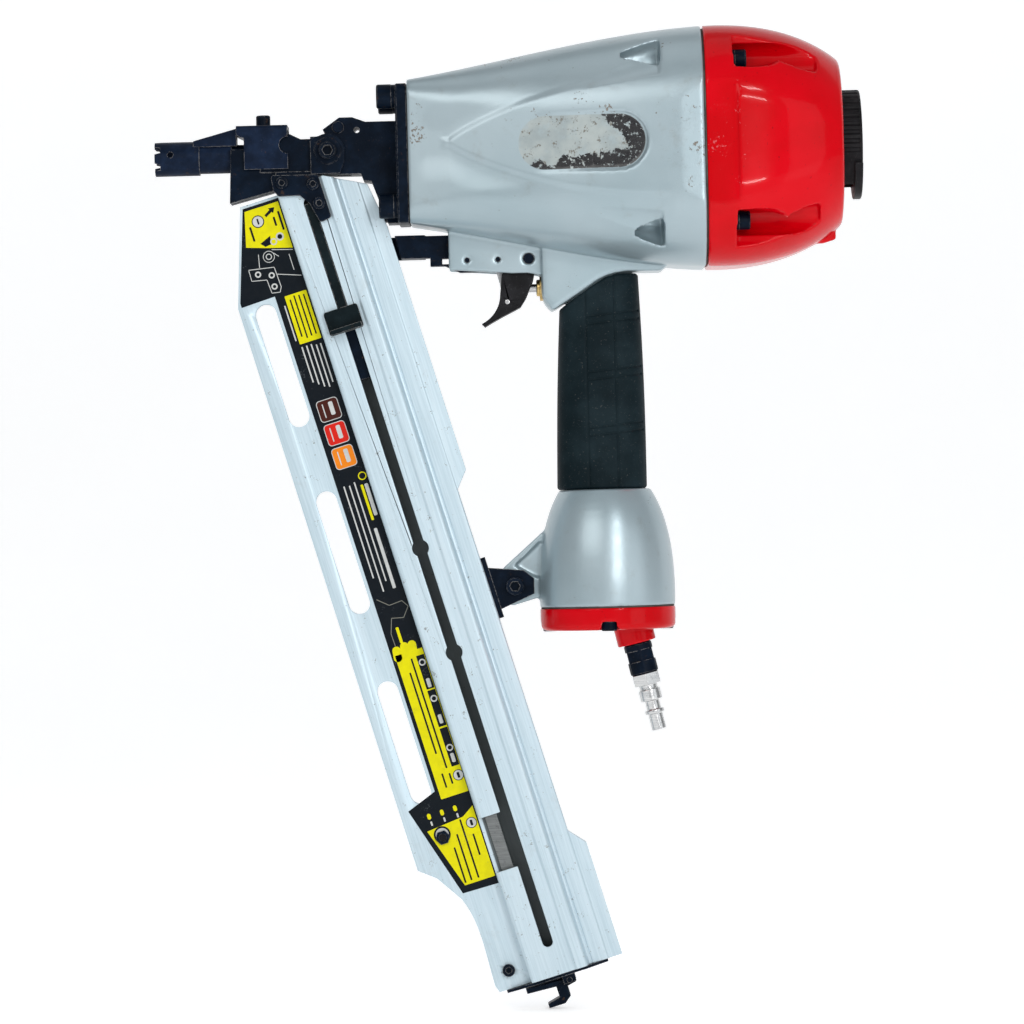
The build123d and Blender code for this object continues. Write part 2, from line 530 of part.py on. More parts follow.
# ================================================================ nose
with BuildPart() as nose_body:
    # mounting flange
    with BuildSketch(cross_plane(FLANGE_X)):
        with Locations((0, (FLANGE_TOP + FLANGE_BOTTOM) / 2)):
            RectangleRounded(2 * FLANGE_HALF_Y, FLANGE_TOP - FLANGE_BOTTOM, 4)
    extrude(amount=FLANGE_REAR_X - FLANGE_X)
    chamfer(nose_body.faces().sort_by(Axis.X)[0].edges(), 0.8)
    # rear block with the rising ear that holds the adjusting pin
    with BuildSketch(side_plane(0)):
        Polygon((FLANGE_X, -38), (FLANGE_X, 16.9), (-23, 16.9), (-30, 19.5), (-37, 19.5), (-46, 13.2),
                (-44, 9.6), (REAR_BLOCK_X, 9.6), (REAR_BLOCK_X, -11), (-26, -11), (-20, -28), (-17, -38),
                align=None)
    extrude(amount=REAR_BLOCK_Y, both=True)
    # front block and the wedge that closes the gap to the magazine's slanting top edge
    with BuildSketch(side_plane(0)):
        Polygon((FRONT_BLOCK_X, -9), (FRONT_BLOCK_X, 5.5), (-76, 8.6), (-72.5, 12.5), (-66, 12.5), (-58, 8.5),
                (REAR_BLOCK_X, 8.5), (REAR_BLOCK_X, -9), align=None)
    extrude(amount=FRONT_BLOCK_Y, both=True)
    with BuildSketch(side_plane(0)):
        Polygon((-71.7, -9), (-71.7, -18.5), (-46.5, -11.1), (-46.5, -9), align=None)
    extrude(amount=REAR_BLOCK_Y, both=True)
    with BuildSketch(cross_plane(FRONT_BLOCK_X)):
        Circle(BARREL_R)
    extrude(amount=BARREL_X - FRONT_BLOCK_X)
    # room for the upper corner of the magazine under the rear block
    with BuildSketch(mag_side(0)):
        Polygon((62, 0.3), (67, 0.3), (90.5, -11.0), (92.5, -40), (150, -40), (150, -60), (62, -60),
                align=None)
    extrude(amount=30, both=True, mode=Mode.SUBTRACT)
    # drive bore, and the feed slot that opens it towards the magazine
    with BuildSketch(cross_plane(0)):
        Circle(DRIVE_BORE_R)
    extrude(amount=BARREL_X - 1, mode=Mode.SUBTRACT)
    with BuildSketch(side_plane(0)):
        Polygon((BARREL_X + 2, 0), (-34, 0), (-31, -12), (-60, -25), (BARREL_X + 2, -25), align=None)
    extrude(amount=FEED_SLOT / 2, both=True, mode=Mode.SUBTRACT)
    with BuildSketch(side_plane(0)):
        Polygon((-41.5, 0), (-34, 0), (-31, -12), (-38.5, -14), align=None)
    extrude(amount=DRIVE_BORE_R, both=True, mode=Mode.SUBTRACT)
    # holes for the adjusting pin, the pivot screw, the corner bracket screws and the flange bolts
    with BuildSketch(side_plane(0)):
        with Locations(ADJUSTER):
            Circle(3 + PLAY)
        with Locations((-27.6, 12.5)):
            Circle(1.5)
    extrude(amount=20, both=True, mode=Mode.SUBTRACT)
    with BuildSketch(side_plane(-REAR_BLOCK_Y)):
        with Locations(PIVOT_SCREW):
            Circle(3 + PLAY)
        with Locations(WEDGE_SCREW):
            Circle(1.5 + PLAY)
    extrude(amount=-8, mode=Mode.SUBTRACT)
    with BuildSketch(side_plane(REAR_BLOCK_Y)):
        with Locations(WEDGE_SCREW):
            Circle(1.5 + PLAY)
    extrude(amount=8, mode=Mode.SUBTRACT)
    with BuildSketch(cross_plane(FLANGE_X - 1)):
        with GridLocations(2 * NOSE_BOLT_Y, 2 * NOSE_BOLT_Z, 2, 2):
            Circle(NOSE_BOLT_R + PLAY)
    extrude(amount=10, mode=Mode.SUBTRACT)
nose_body.part.label = "nose_body"
export_step(nose_body.part, "parts/nose_body.step")

with BuildPart() as spring_washers:
    # under the heads of the cap bolts and of the nose bolts
    with BuildSketch(cross_plane(CAP_LUG_REAR_X)):
        with GridLocations(2 * CAP_BOLT_YZ, 2 * CAP_BOLT_YZ, 2, 2):
            Circle(CAP_BOLT_HEAD_R)
            Circle(CAP_BOLT_R + PLAY, mode=Mode.SUBTRACT)
    extrude(amount=1.6)
    with BuildSketch(cross_plane(FLANGE_X)):
        with GridLocations(2 * NOSE_BOLT_Y, 2 * NOSE_BOLT_Z, 2, 2):
            Circle(6.3)
            Circle(NOSE_BOLT_R + PLAY, mode=Mode.SUBTRACT)
    extrude(amount=-2)
spring_washers.part.label = "spring_washers"
export_step(spring_washers.part, "parts/spring_washers.step")

with BuildPart() as nose_bolts:
    with BuildSketch(cross_plane(FLANGE_X - 2)):
        with GridLocations(2 * NOSE_BOLT_Y, 2 * NOSE_BOLT_Z, 2, 2):
            Circle(6.5)
    extrude(amount=-8)
    chamfer(nose_bolts.faces().sort_by(Axis.X)[0:4].edges(), 0.7)
    with BuildSketch(cross_plane(FLANGE_X - 10)):
        with GridLocations(2 * NOSE_BOLT_Y, 2 * NOSE_BOLT_Z, 2, 2):
            RegularPolygon(3, 6, major_radius=False)
    extrude(amount=4, mode=Mode.SUBTRACT)
    with BuildSketch(cross_plane(FLANGE_X - 2)):
        with GridLocations(2 * NOSE_BOLT_Y, 2 * NOSE_BOLT_Z, 2, 2):
            Circle(NOSE_BOLT_R)
    extrude(amount=23)
nose_bolts.part.label = "nose_bolts"
export_step(nose_bolts.part, "parts/nose_bolts.step")

with BuildPart() as pivot_plate:
    # side plate with a round boss on the near face of the rear block
    with BuildSketch(side_plane(-REAR_BLOCK_Y)):
        with Locations(PIVOT_SCREW):
            Circle(9.2)
        Polygon((REAR_BLOCK_X, 8.6), (-43.5, 11), (-34.3, 1.8), (-34.5, -4), (-37, -10.6),
                (REAR_BLOCK_X, -10.6), align=None)
        with Locations(PIVOT_SCREW):
            Circle(3 + PLAY, mode=Mode.SUBTRACT)
    extrude(amount=2)
    with BuildSketch(side_plane(-REAR_BLOCK_Y - 2)):
        with Locations(PIVOT_SCREW):
            Circle(7.2)
            Circle(3 + PLAY, mode=Mode.SUBTRACT)
    extrude(amount=1)
pivot_plate.part.label = "pivot_plate"
export_step(pivot_plate.part, "parts/pivot_plate.step")

with BuildPart() as pivot_screw:
    with BuildSketch(side_plane(-REAR_BLOCK_Y - 3)):
        with Locations(PIVOT_SCREW):
            Circle(4.7)
    extrude(amount=4.5)
    chamfer(pivot_screw.faces().sort_by(Axis.Y)[0].edges(), 0.6)
    with BuildSketch(side_plane(-REAR_BLOCK_Y - 7.5)):
        with Locations(PIVOT_SCREW):
            RegularPolygon(2.5, 6, major_radius=False)
    extrude(amount=-3, mode=Mode.SUBTRACT)
    with BuildSketch(side_plane(-REAR_BLOCK_Y - 3)):
        with Locations(PIVOT_SCREW):
            Circle(3)
    extrude(amount=-10)
pivot_screw.part.label = "pivot_screw"
export_step(pivot_screw.part, "parts/pivot_screw.step")

with BuildPart() as adjusting_pin:
    with BuildSketch(side_plane(-REAR_BLOCK_Y - 2.2)):
        with Locations(ADJUSTER):
            Circle(3)
    extrude(amount=-2 * REAR_BLOCK_Y - 3.2)
    with BuildSketch(side_plane(REAR_BLOCK_Y + 1)):
        with Locations(ADJUSTER):
            Circle(4.2)
    extrude(amount=-2)
    fillet(adjusting_pin.faces().sort_by(Axis.Y)[0].edges(), 0.7)
adjusting_pin.part.label = "adjusting_pin"
export_step(adjusting_pin.part, "parts/adjusting_pin.step")

with BuildPart() as feed_cheeks:
    # the two black cheeks that guide the nail shanks between the magazine and the barrel
    with BuildSketch(side_plane(-FRONT_BLOCK_Y)):
        Polygon((-95.7, 3.8), (-96.9, -25.2), (-75.5, -19.7), (-71.8, -18.6), (-71.8, -9.1), (-80.1, -9.1),
                (-80.1, 3.8), align=None)
    extrude(amount=-2)
    with BuildSketch(side_plane(-FRONT_BLOCK_Y + 2)):
        Polygon((-95.9, -9.4), (-96.9, -25.2), (-75.5, -19.7), (-71.8, -18.6), (-71.8, -9.4), align=None)
    extrude(amount=-FRONT_BLOCK_Y + 2 + FEED_SLOT / 2)
    mirror(about=Plane.XZ)
feed_cheeks.part.label = "feed_cheeks"
export_step(feed_cheeks.part, "parts/feed_cheeks.step")

with BuildPart() as work_contact:
    # toothed tube, open underneath for the nails
    with BuildSketch(cross_plane(FOOT_TIP_X)):
        Circle(FOOT_R)
    extrude(amount=24)
    with BuildSketch(cross_plane(FOOT_TIP_X + 24)):
        Circle(FOOT_R - 0.9)
    extrude(amount=17.5)
    # gusset that rises to the saddle, and the saddle over the front block
    with BuildSketch(side_plane(0)):
        Polygon((-116, 6), (-116, 9.2), (-92.6, SADDLE_TOP_Z - 1), (-92.6, 6), align=None)
    extrude(amount=7, both=True)
    with BuildSketch(cross_plane(-92.6)):
        with Locations((0, (SADDLE_TOP_Z - 7.3) / 2)):
            Rectangle(2 * SADDLE_OUT_Y, SADDLE_TOP_Z + 7.3)
    extrude(amount=27.6)
    fillet(work_contact.edges().filter_by(Axis.X).group_by(Axis.Z)[-1], 2)
    with BuildSketch(side_plane(0)):
        Polygon((-92.7, -7.4), (-88.5, -7.4), (-88.5, 9.5), (-92.7, 11.5), align=None)
    extrude(amount=20, both=True, mode=Mode.SUBTRACT)
    with BuildSketch(side_plane(0)):
        with Locations((-65, 5.5)):
            Circle(4.6)
    extrude(amount=20, both=True, mode=Mode.SUBTRACT)
    with BuildSketch(cross_plane(-88.5)):
        with Locations((0, 0.6)):
            Rectangle(2 * SADDLE_IN_Y, 2 * 13.4)
    extrude(amount=30, mode=Mode.SUBTRACT)
    with BuildSketch(cross_plane(FOOT_TIP_X - 1)):
        Circle(FOOT_BORE_R)
    extrude(amount=60, mode=Mode.SUBTRACT)
    with BuildSketch(side_plane(0)):
        Polygon((FOOT_TIP_X - 1, 0), (-70, 0), (-70, -20), (FOOT_TIP_X - 1, -20), align=None)
    extrude(amount=FEED_SLOT / 2, both=True, mode=Mode.SUBTRACT)
    # teeth that bite into the timber, and the sight hole
    with BuildSketch(cross_plane(FOOT_TIP_X)):
        with PolarLocations(FOOT_R - 1, 6, start_angle=30):
            Circle(2.4)
    extrude(amount=3, taper=12, mode=Mode.SUBTRACT)
    with BuildSketch(side_plane(-FOOT_R - 1)):
        with Locations((-128.5, 2.0)):
            Circle(1.6)
    extrude(amount=-6, mode=Mode.SUBTRACT)
    with BuildSketch(Plane.XY.offset(SADDLE_TOP_Z + 1)):
        with Locations((CONTACT_KNOB_X, 0)):
            Circle(2.5 + PLAY)
    extrude(amount=-6, mode=Mode.SUBTRACT)
work_contact.part.label = "work_contact"
export_step(work_contact.part, "parts/work_contact.step")

with BuildPart() as contact_knob:
    with BuildSketch(Plane.XY.offset(SADDLE_TOP_Z)):
        with Locations((CONTACT_KNOB_X, 0)):
            Circle(3.85)
    extrude(amount=6)
    chamfer(contact_knob.faces().sort_by(Axis.Z)[-1].edges(), 0.6)
    with BuildSketch(Plane.XY.offset(SADDLE_TOP_Z)):
        with Locations((CONTACT_KNOB_X, 0)):
            Circle(2.5)
    extrude(amount=-2.3)
contact_knob.part.label = "contact_knob"
export_step(contact_knob.part, "parts/contact_knob.step")

with BuildPart() as contact_arm:
    # flat arm on the far side, its joggle before the cheeks and the foot that reaches the trigger lever
    with BuildSketch(side_plane(ARM_Y)):
        Polygon((-86, -7), (-86, -4), (-80, 5), (-68, 8), (-58, 4), (-46, -22), (-32, -44.5),
                (JOG_END_X, -44.5), (JOG_END_X, -57), (-36, -57), (-58, -22), (-66, -5), (-72, -7),
                align=None)
    extrude(amount=-ARM_T)
    with BuildSketch(side_plane(-ARM_HALF)):
        Polygon((-9, -44.5), (JOG_END_X, -44.5), (JOG_END_X, -57), (-5.6, -57), align=None)
    extrude(amount=-ARM_HALF - ARM_Y)
    with BuildSketch(side_plane(0)):
        Polygon((JOG_END_X, -45), (20, -45), (36, -50), (36, -56.6), (32.9, -57.2), (32.9, -65.2),
                (26, -65.2), (18, -61.5), (10, -61.5), (10, -57), (JOG_END_X, -57), align=None)
    extrude(amount=ARM_HALF, both=True)
    # narrow toe that runs in between the trigger's ears and turns the lever
    with BuildSketch(side_plane(0)):
        Polygon((32.8, -61.4), (44, -61.8), (44, -63.2), (42.8, -65.2), (32.8, -65.2), align=None)
    extrude(amount=TOE_HALF, both=True)
    # slot that the front guide pin runs in
    with BuildSketch(side_plane(0)):
        with Locations((24, GUIDE_PIN_Z)):
            Rectangle(15.2, 2 * GUIDE_PIN_R + 0.2)
    extrude(amount=30, both=True, mode=Mode.SUBTRACT)
contact_arm.part.label = "contact_arm"
export_step(contact_arm.part, "parts/contact_arm.step")

with BuildPart() as contact_spring:
    with BuildLine():
        contact_coils = Helix(pitch=2.8, height=19.6, radius=2.3, center=(36.6, 0, -53.1),
                              direction=(1, 0, 0))
    with BuildSketch(Plane(origin=contact_coils @ 0, z_dir=contact_coils % 0)):
        Circle(0.4)
    sweep(path=contact_coils, is_frenet=True)
contact_spring.part.label = "contact_spring"
export_step(contact_spring.part, "parts/contact_spring.step")

# ================================================================ trigger group
with BuildPart() as trigger:
    # curved finger piece with two ears up to the pin
    with BuildSketch(side_plane(0)):
        with BuildLine():
            Polyline((57.5, -60), (48.3, -66.9), (47.1, -78.5))
            ThreePointArc((47.1, -78.5), (44.6, -86.5), (36.9, -93.3))
            Line((36.9, -93.3), (38.6, -95))
            ThreePointArc((38.6, -95), (46.5, -90.6), (54.7, -86.5))
            Polyline((54.7, -86.5), (58, -84.8), (61, -80.2), (65.0, -71), (67.6, -60))
            ThreePointArc((67.6, -60), (62.6, -54.3), (57.5, -60))
        make_face()
    extrude(amount=SLOT_HALF - 0.2, both=True)
    # hollow between the ears for the lever and the valve stem
    with BuildSketch(side_plane(0)):
        Polygon((40, -50), (40, -76), (47.6, -86.2), (53.5, -84.6), (57.5, -82.5), (60, -79.5), (70, -79.5),
                (70, -50), align=None)
    extrude(amount=TRIGGER_HOLLOW_HALF, both=True, mode=Mode.SUBTRACT)
    with BuildSketch(side_plane(0)):
        with Locations((TRIGGER_PIVOT_X, TRIGGER_PIVOT_Z)):
            Circle(3 + PLAY)
        with Locations((LEVER_PIVOT_X, LEVER_PIVOT_Z)):
            Circle(1.25 + PLAY)
    extrude(amount=10, both=True, mode=Mode.SUBTRACT)
trigger.part.label = "trigger"
export_step(trigger.part, "parts/trigger.step")

with BuildPart() as bracket_pins:
    # pins across the cheeks: the trigger turns on the thick one and the contact arm runs over a thin one
    with BuildSketch(side_plane(0)):
        with Locations((TRIGGER_PIVOT_X, TRIGGER_PIVOT_Z)):
            Circle(3)
    extrude(amount=CHEEK_HALF - 0.4, both=True)
    with BuildSketch(side_plane(0)):
        with Locations(*[(x, GUIDE_PIN_Z) for x in GUIDE_PIN_X]):
            Circle(GUIDE_PIN_R)
    extrude(amount=CHEEK_HALF - 0.4, both=True)
bracket_pins.part.label = "bracket_pins"
export_step(bracket_pins.part, "parts/bracket_pins.step")

with BuildPart() as trigger_lever:
    with BuildSketch(side_plane(0)):
        Polygon((48.9, -82.5), (50, -84.1), (52, -84.1), (53.2, -82.5), (51.9, -74), (49.0, -66),
                (48.4, -62.3), (44.9, -62.3), (45.4, -65.5), (47.2, -72), align=None)
        with Locations((LEVER_PIVOT_X, LEVER_PIVOT_Z)):
            Circle(1.25 + PLAY, mode=Mode.SUBTRACT)
    extrude(amount=LEVER_HALF, both=True)
trigger_lever.part.label = "trigger_lever"
export_step(trigger_lever.part, "parts/trigger_lever.step")

with BuildPart() as lever_pin:
    with BuildSketch(side_plane(0)):
        with Locations((LEVER_PIVOT_X, LEVER_PIVOT_Z)):
            Circle(1.25)
    extrude(amount=SLOT_HALF - 0.6, both=True)
lever_pin.part.label = "lever_pin"
export_step(lever_pin.part, "parts/lever_pin.step")

with BuildPart() as trigger_spring:
    with BuildLine():
        trigger_coils = Helix(pitch=1.2, height=7.2, radius=3.75,
                              center=(TRIGGER_PIVOT_X, 3.6, TRIGGER_PIVOT_Z), direction=(0, -1, 0))
    with BuildSketch(Plane(origin=trigger_coils @ 0, z_dir=trigger_coils % 0)):
        Circle(0.4)
    sweep(path=trigger_coils, is_frenet=True)
trigger_spring.part.label = "trigger_spring"
export_step(trigger_spring.part, "parts/trigger_spring.step")

with BuildPart() as valve_body:
    with BuildSketch(cross_plane(68.6)):
        with Locations((0, VALVE_Z)):
            Circle(VALVE_BODY_R)
    extrude(amount=23)
    with BuildSketch(cross_plane(66.8)):
        with Locations((0, VALVE_Z)):
            Circle(4.5)
    extrude(amount=2)
    chamfer(valve_body.faces().sort_by(Axis.X)[0].edges(), 0.5)
    # stepped bore for the stem, its head and the return spring
    with BuildSketch(cross_plane(66)):
        with Locations((0, VALVE_Z)):
            Circle(STEM_R + PLAY)
    extrude(amount=30, mode=Mode.SUBTRACT)
    with BuildSketch(cross_plane(STEM_HEAD_X - 2)):
        with Locations((0, VALVE_Z)):
            Circle(STEM_HEAD_R + PLAY)
    extrude(amount=VALVE_SPRING_END_X - STEM_HEAD_X + 2, mode=Mode.SUBTRACT)
valve_body.part.label = "valve_body"
export_step(valve_body.part, "parts/valve_body.step")

with BuildPart() as valve_stem:
    with BuildSketch(cross_plane(STEM_TIP_X)):
        with Locations((0, VALVE_Z)):
            Circle(STEM_R)
    extrude(amount=STEM_HEAD_X + 3 - STEM_TIP_X)
    chamfer(valve_stem.faces().sort_by(Axis.X)[0].edges(), 0.6)
    with BuildSketch(cross_plane(STEM_HEAD_X)):
        with Locations((0, VALVE_Z)):
            Circle(STEM_HEAD_R)
    extrude(amount=3)
valve_stem.part.label = "valve_stem"
export_step(valve_stem.part, "parts/valve_stem.step")

with BuildPart() as valve_spring:
    with BuildLine():
        valve_coils = Helix(pitch=2.2, height=9.9, radius=3.6, center=(STEM_HEAD_X + 3.55, 0, VALVE_Z),
                            direction=(1, 0, 0))
    with BuildSketch(Plane(origin=valve_coils @ 0, z_dir=valve_coils % 0)):
        Circle(0.4)
    sweep(path=valve_coils, is_frenet=True)
valve_spring.part.label = "valve_spring"
export_step(valve_spring.part, "parts/valve_spring.step")

# ================================================================ handle end
with BuildPart() as gaskets:
    # cap joint, nose joint and end cap joint
    with BuildSketch(cross_plane(SPLIT_X)):
        with Locations((0, HOUSING_SECTIONS[-1][4])):
            RectangleRounded(2 * REST_FLAT_Y - 1, HOUSING_SECTIONS[-1][2] - 3, 41)
        Circle(54, mode=Mode.SUBTRACT)
        with GridLocations(2 * CAP_BOLT_YZ, 2 * CAP_BOLT_YZ, 2, 2):
            Circle(CAP_BOLT_R + PLAY, mode=Mode.SUBTRACT)
    extrude(amount=GASKET_T)
    with BuildSketch(cross_plane(FLANGE_REAR_X)):
        with Locations((0, (FLANGE_TOP + FLANGE_BOTTOM) / 2)):
            RectangleRounded(2 * FLANGE_HALF_Y - 1, FLANGE_TOP - FLANGE_BOTTOM - 1, 4)
        Circle(9, mode=Mode.SUBTRACT)
        with GridLocations(2 * NOSE_BOLT_Y, 2 * NOSE_BOLT_Z, 2, 2):
            Circle(NOSE_BOLT_R + PLAY, mode=Mode.SUBTRACT)
    extrude(amount=-FLANGE_REAR_X)
    with BuildSketch(Plane.XY.offset(BELL_BOTTOM_Z)):
        with Locations((BELL_CENTRE_X, 0)):
            Circle(BELL_R - 0.5)
            Circle(26, mode=Mode.SUBTRACT)
            with PolarLocations(END_SCREW_R, 4):
                Circle(2.5 + PLAY, mode=Mode.SUBTRACT)
    extrude(amount=-END_GASKET_T)
gaskets.part.label = "gaskets"
export_step(gaskets.part, "parts/gaskets.step")

with BuildPart() as end_cap:
    with BuildSketch(Plane.XY.offset(BELL_BOTTOM_Z - END_GASKET_T)):
        with Locations((BELL_CENTRE_X, 0)):
            Circle(BELL_R)
    extrude(amount=END_CAP_BOTTOM_Z - BELL_BOTTOM_Z + END_GASKET_T)
    fillet(end_cap.faces().sort_by(Axis.Z)[0].edges(), 3)
    with BuildSketch(inlet_plane(-13)):
        Circle(10.5)
    extrude(amount=16)
    with BuildSketch(Plane.XY.offset(END_CAP_BOTTOM_Z + 4.6)):
        with Locations((BELL_CENTRE_X, 0)):
            with PolarLocations(END_SCREW_R + 1, 4):
                Circle(5.6)
    extrude(amount=-8, mode=Mode.SUBTRACT)
    with BuildSketch(Plane.XY.offset(BELL_BOTTOM_Z)):
        with Locations((BELL_CENTRE_X, 0)):
            with PolarLocations(END_SCREW_R, 4):
                Circle(2.5 + PLAY)
    extrude(amount=-20, mode=Mode.SUBTRACT)
    with BuildSketch(inlet_plane(-26)):
        Circle(5 + PLAY)
    extrude(amount=32, mode=Mode.SUBTRACT)
end_cap.part.label = "end_cap"
export_step(end_cap.part, "parts/end_cap.step")

with BuildPart() as end_cap_screws:
    with BuildSketch(Plane.XY.offset(END_CAP_BOTTOM_Z + 4.6)):
        with Locations((BELL_CENTRE_X, 0)):
            with PolarLocations(END_SCREW_R, 4):
                Circle(4.2)
    extrude(amount=-5)
    chamfer(end_cap_screws.faces().sort_by(Axis.Z)[0:4].edges(), 0.5)
    with BuildSketch(Plane.XY.offset(END_CAP_BOTTOM_Z - 0.4)):
        with Locations((BELL_CENTRE_X, 0)):
            with PolarLocations(END_SCREW_R, 4):
                RegularPolygon(2, 6, major_radius=False)
    extrude(amount=3, mode=Mode.SUBTRACT)
    with BuildSketch(Plane.XY.offset(END_CAP_BOTTOM_Z + 4.6)):
        with Locations((BELL_CENTRE_X, 0)):
            with PolarLocations(END_SCREW_R, 4):
                Circle(2.5)
    extrude(amount=20)
end_cap_screws.part.label = "end_cap_screws"
export_step(end_cap_screws.part, "parts/end_cap_screws.step")

with BuildPart() as inlet_filter:
    # gauze thimble over the inlet, inside the bell
    with BuildSketch(Plane.XY.offset(BELL_BOTTOM_Z - END_GASKET_T)):
        with Locations((111.6, 0)):
            Circle(8)
            Circle(6.5, mode=Mode.SUBTRACT)
    extrude(amount=7)
    with BuildSketch(Plane.XY.offset(BELL_BOTTOM_Z - END_GASKET_T + 7)):
        with Locations((111.6, 0)):
            Circle(8)
    extrude(amount=1)
inlet_filter.part.label = "inlet_filter"
export_step(inlet_filter.part, "parts/inlet_filter.step")

with BuildPart() as inlet_swivel:
    with BuildSketch(inlet_plane(INLET_BOSS_D)):
        Circle(SWIVEL_R)
    extrude(amount=SWIVEL_L)
    chamfer(inlet_swivel.edges().filter_by(GeomType.CIRCLE), 0.8)
    with BuildSketch(inlet_plane(INLET_BOSS_D + 4)):
        Circle(SWIVEL_R + 1)
        RegularPolygon(SWIVEL_R - 0.7, 6, major_radius=False, mode=Mode.SUBTRACT)
    extrude(amount=6, mode=Mode.SUBTRACT)
    with BuildSketch(inlet_plane(INLET_BOSS_D)):
        Circle(5)
    extrude(amount=-8)
    with BuildSketch(inlet_plane(-6)):
        Circle(3.2)
    extrude(amount=40, mode=Mode.SUBTRACT)
    with BuildSketch(inlet_plane(INLET_BOSS_D + 6)):
        Circle(5 + PLAY)
    extrude(amount=SWIVEL_L, mode=Mode.SUBTRACT)
inlet_swivel.part.label = "inlet_swivel"
export_step(inlet_swivel.part, "parts/inlet_swivel.step")

with BuildPart() as air_plug:
    # industrial-interchange quick plug, 1/4 inch body
    plug_start = INLET_BOSS_D + SWIVEL_L + 0.1
    with BuildSketch(inlet_plane(plug_start)):
        RegularPolygon(PLUG_HEX / 2, 6, major_radius=False)
    extrude(amount=6)
    with BuildSketch(inlet_plane(plug_start + 6)):
        Circle(5.0)
    extrude(amount=2.6)
    with BuildSketch(inlet_plane(plug_start + 8.6)):
        Circle(PLUG_COLLAR_R)
    extrude(amount=6.2)
    with BuildSketch(inlet_plane(plug_start + 14.8)):
        Circle(PLUG_TIP_R)
    extrude(amount=5)
    with BuildSketch(inlet_plane(plug_start + 19.8)):
        Circle(PLUG_RING_R)
    extrude(amount=2.2)
    with BuildSketch(inlet_plane(plug_start + 22)):
        Circle(PLUG_TIP_R)
    extrude(amount=PLUG_TIP_L)
    chamfer(air_plug.edges().filter_by(GeomType.CIRCLE), 0.35)
    with BuildSketch(inlet_plane(plug_start)):
        Circle(5)
    extrude(amount=-11)
    with BuildSketch(inlet_plane(plug_start - 14)):
        Circle(2.6)
    extrude(amount=60, mode=Mode.SUBTRACT)
air_plug.part.label = "air_plug"
export_step(air_plug.part, "parts/air_plug.step")

# ================================================================ magazine
with BuildPart() as magazine_channel:
    with BuildSketch(mag_end(0)):
        with BuildLine():
            Polyline((CASING_A, -FAR_LEG_N), (CASING_A, CASING_N - 1.5), (CASING_A + 1.5, CASING_N),
                     (CASING_EDGE_A, CASING_N), (CASING_EDGE_A + 1.2, RIDGE_N), (70.4, RIDGE_N),
                     (71.7, RIDGE_N - 0.9), (72.8, SPINE_N), (74.0, SPINE_N), (74.4, SPINE_N - 0.7),
                     (74.9, SPINE_N), (SPINE_A - 0.8, SPINE_N), (SPINE_A, SPINE_N - 0.8),
                     (SPINE_A, -FAR_LEG_N), (CASING_A, -FAR_LEG_N))
        make_face()
        with Locations(((CASING_A + CAVITY_A) / 2 - 2, 0)):
            Rectangle(CAVITY_A - CASING_A + 4, 2 * CAVITY_N, mode=Mode.SUBTRACT)
        with Locations(((CHAMBER_IN_A + CHAMBER_OUT_A) / 2, CHAMBER_N / 2)):
            Rectangle(CHAMBER_OUT_A - CHAMBER_IN_A, CHAMBER_N, mode=Mode.SUBTRACT)
    extrude(amount=MAG_LENGTH)
    # spine flange above and below the rear support
    with BuildSketch(mag_side(-3)):
        Polygon((SPINE_A - 1, -3), (88, -11.2), (90.7, -31), (FLANGE_A, -36), (FLANGE_A, -174),
                (SPINE_A - 1, -184), align=None)
        Polygon((SPINE_A - 1, -375), (FLANGE_A, -385), (FLANGE_A, -MAG_LENGTH), (SPINE_A - 1, -MAG_LENGTH),
                align=None)
    extrude(amount=3 + SPINE_N - 0.8)
    # slanting top corner, pusher slot, angle holes and the notch low in the casing
    with BuildSketch(mag_side(-20)):
        Polygon((66.9, 2), (66.9, 0), (88, -11.2), (93, -11.2), (93, 2), align=None)
    extrude(amount=40, mode=Mode.SUBTRACT)
    with BuildSketch(mag_side(CHAMBER_N - 1)):
        with Locations((SLOT_A, -(SLOT_TOP_S + SLOT_END_S) / 2)):
            SlotOverall(SLOT_END_S - SLOT_TOP_S, SLOT_W, rotation=90)
        with Locations((SLOT_A, -206.8), (SLOT_A, -265.7)):
            Circle(4.5)
    extrude(amount=6, mode=Mode.SUBTRACT)
    with BuildSketch(mag_side(CAVITY_N)):
        Polygon((CASING_A - 1, -355), (SLOT_A - SLOT_W / 2, -355), (SLOT_A - SLOT_W / 2, -385.6),
                (CASING_A - 1, -385.6), align=None)
    extrude(amount=12, mode=Mode.SUBTRACT)
    # threads for the corner bracket's two lower screws and the rear support's screws
    with BuildSketch(mag_side(CASING_N + 1)):
        with Locations(*[(a, -s) for a, s in BRACKET_SCREWS]):
            Circle(1.5 + PLAY)
    extrude(amount=-6, mode=Mode.SUBTRACT)
magazine_channel.part.label = "magazine_channel"
export_step(magazine_channel.part, "parts/magazine_channel.step")

with BuildPart() as window_plates:
    for plate_n in (PLATE_IN, -PLATE_OUT):
        with BuildSketch(mag_side(plate_n)):
            with BuildLine():
                Polyline((40, -2), (18.8, -2), (0.9, -54), (0, -372), (8.6, -379), (18, -394))
                Spline((18, -394), (21.2, -408), (21.4, -427), (20.7, -444))
                Polyline((20.7, -444), (22, -MAG_LENGTH + 0.2), (47, -MAG_LENGTH + 0.2), (47, -2), (40, -2))
            make_face()
            with Locations(*[(WINDOW_A, -s) for s in WINDOW_S]):
                SlotOverall(WINDOW_L, WINDOW_W, rotation=90, mode=Mode.SUBTRACT)
            with Locations(TAIL_SCREW, ANGLE_KNOB):
                Circle(2 + PLAY, mode=Mode.SUBTRACT)
        extrude(amount=PLATE_OUT - PLATE_IN)
window_plates.part.label = "window_plates"
export_step(window_plates.part, "parts/window_plates.step")

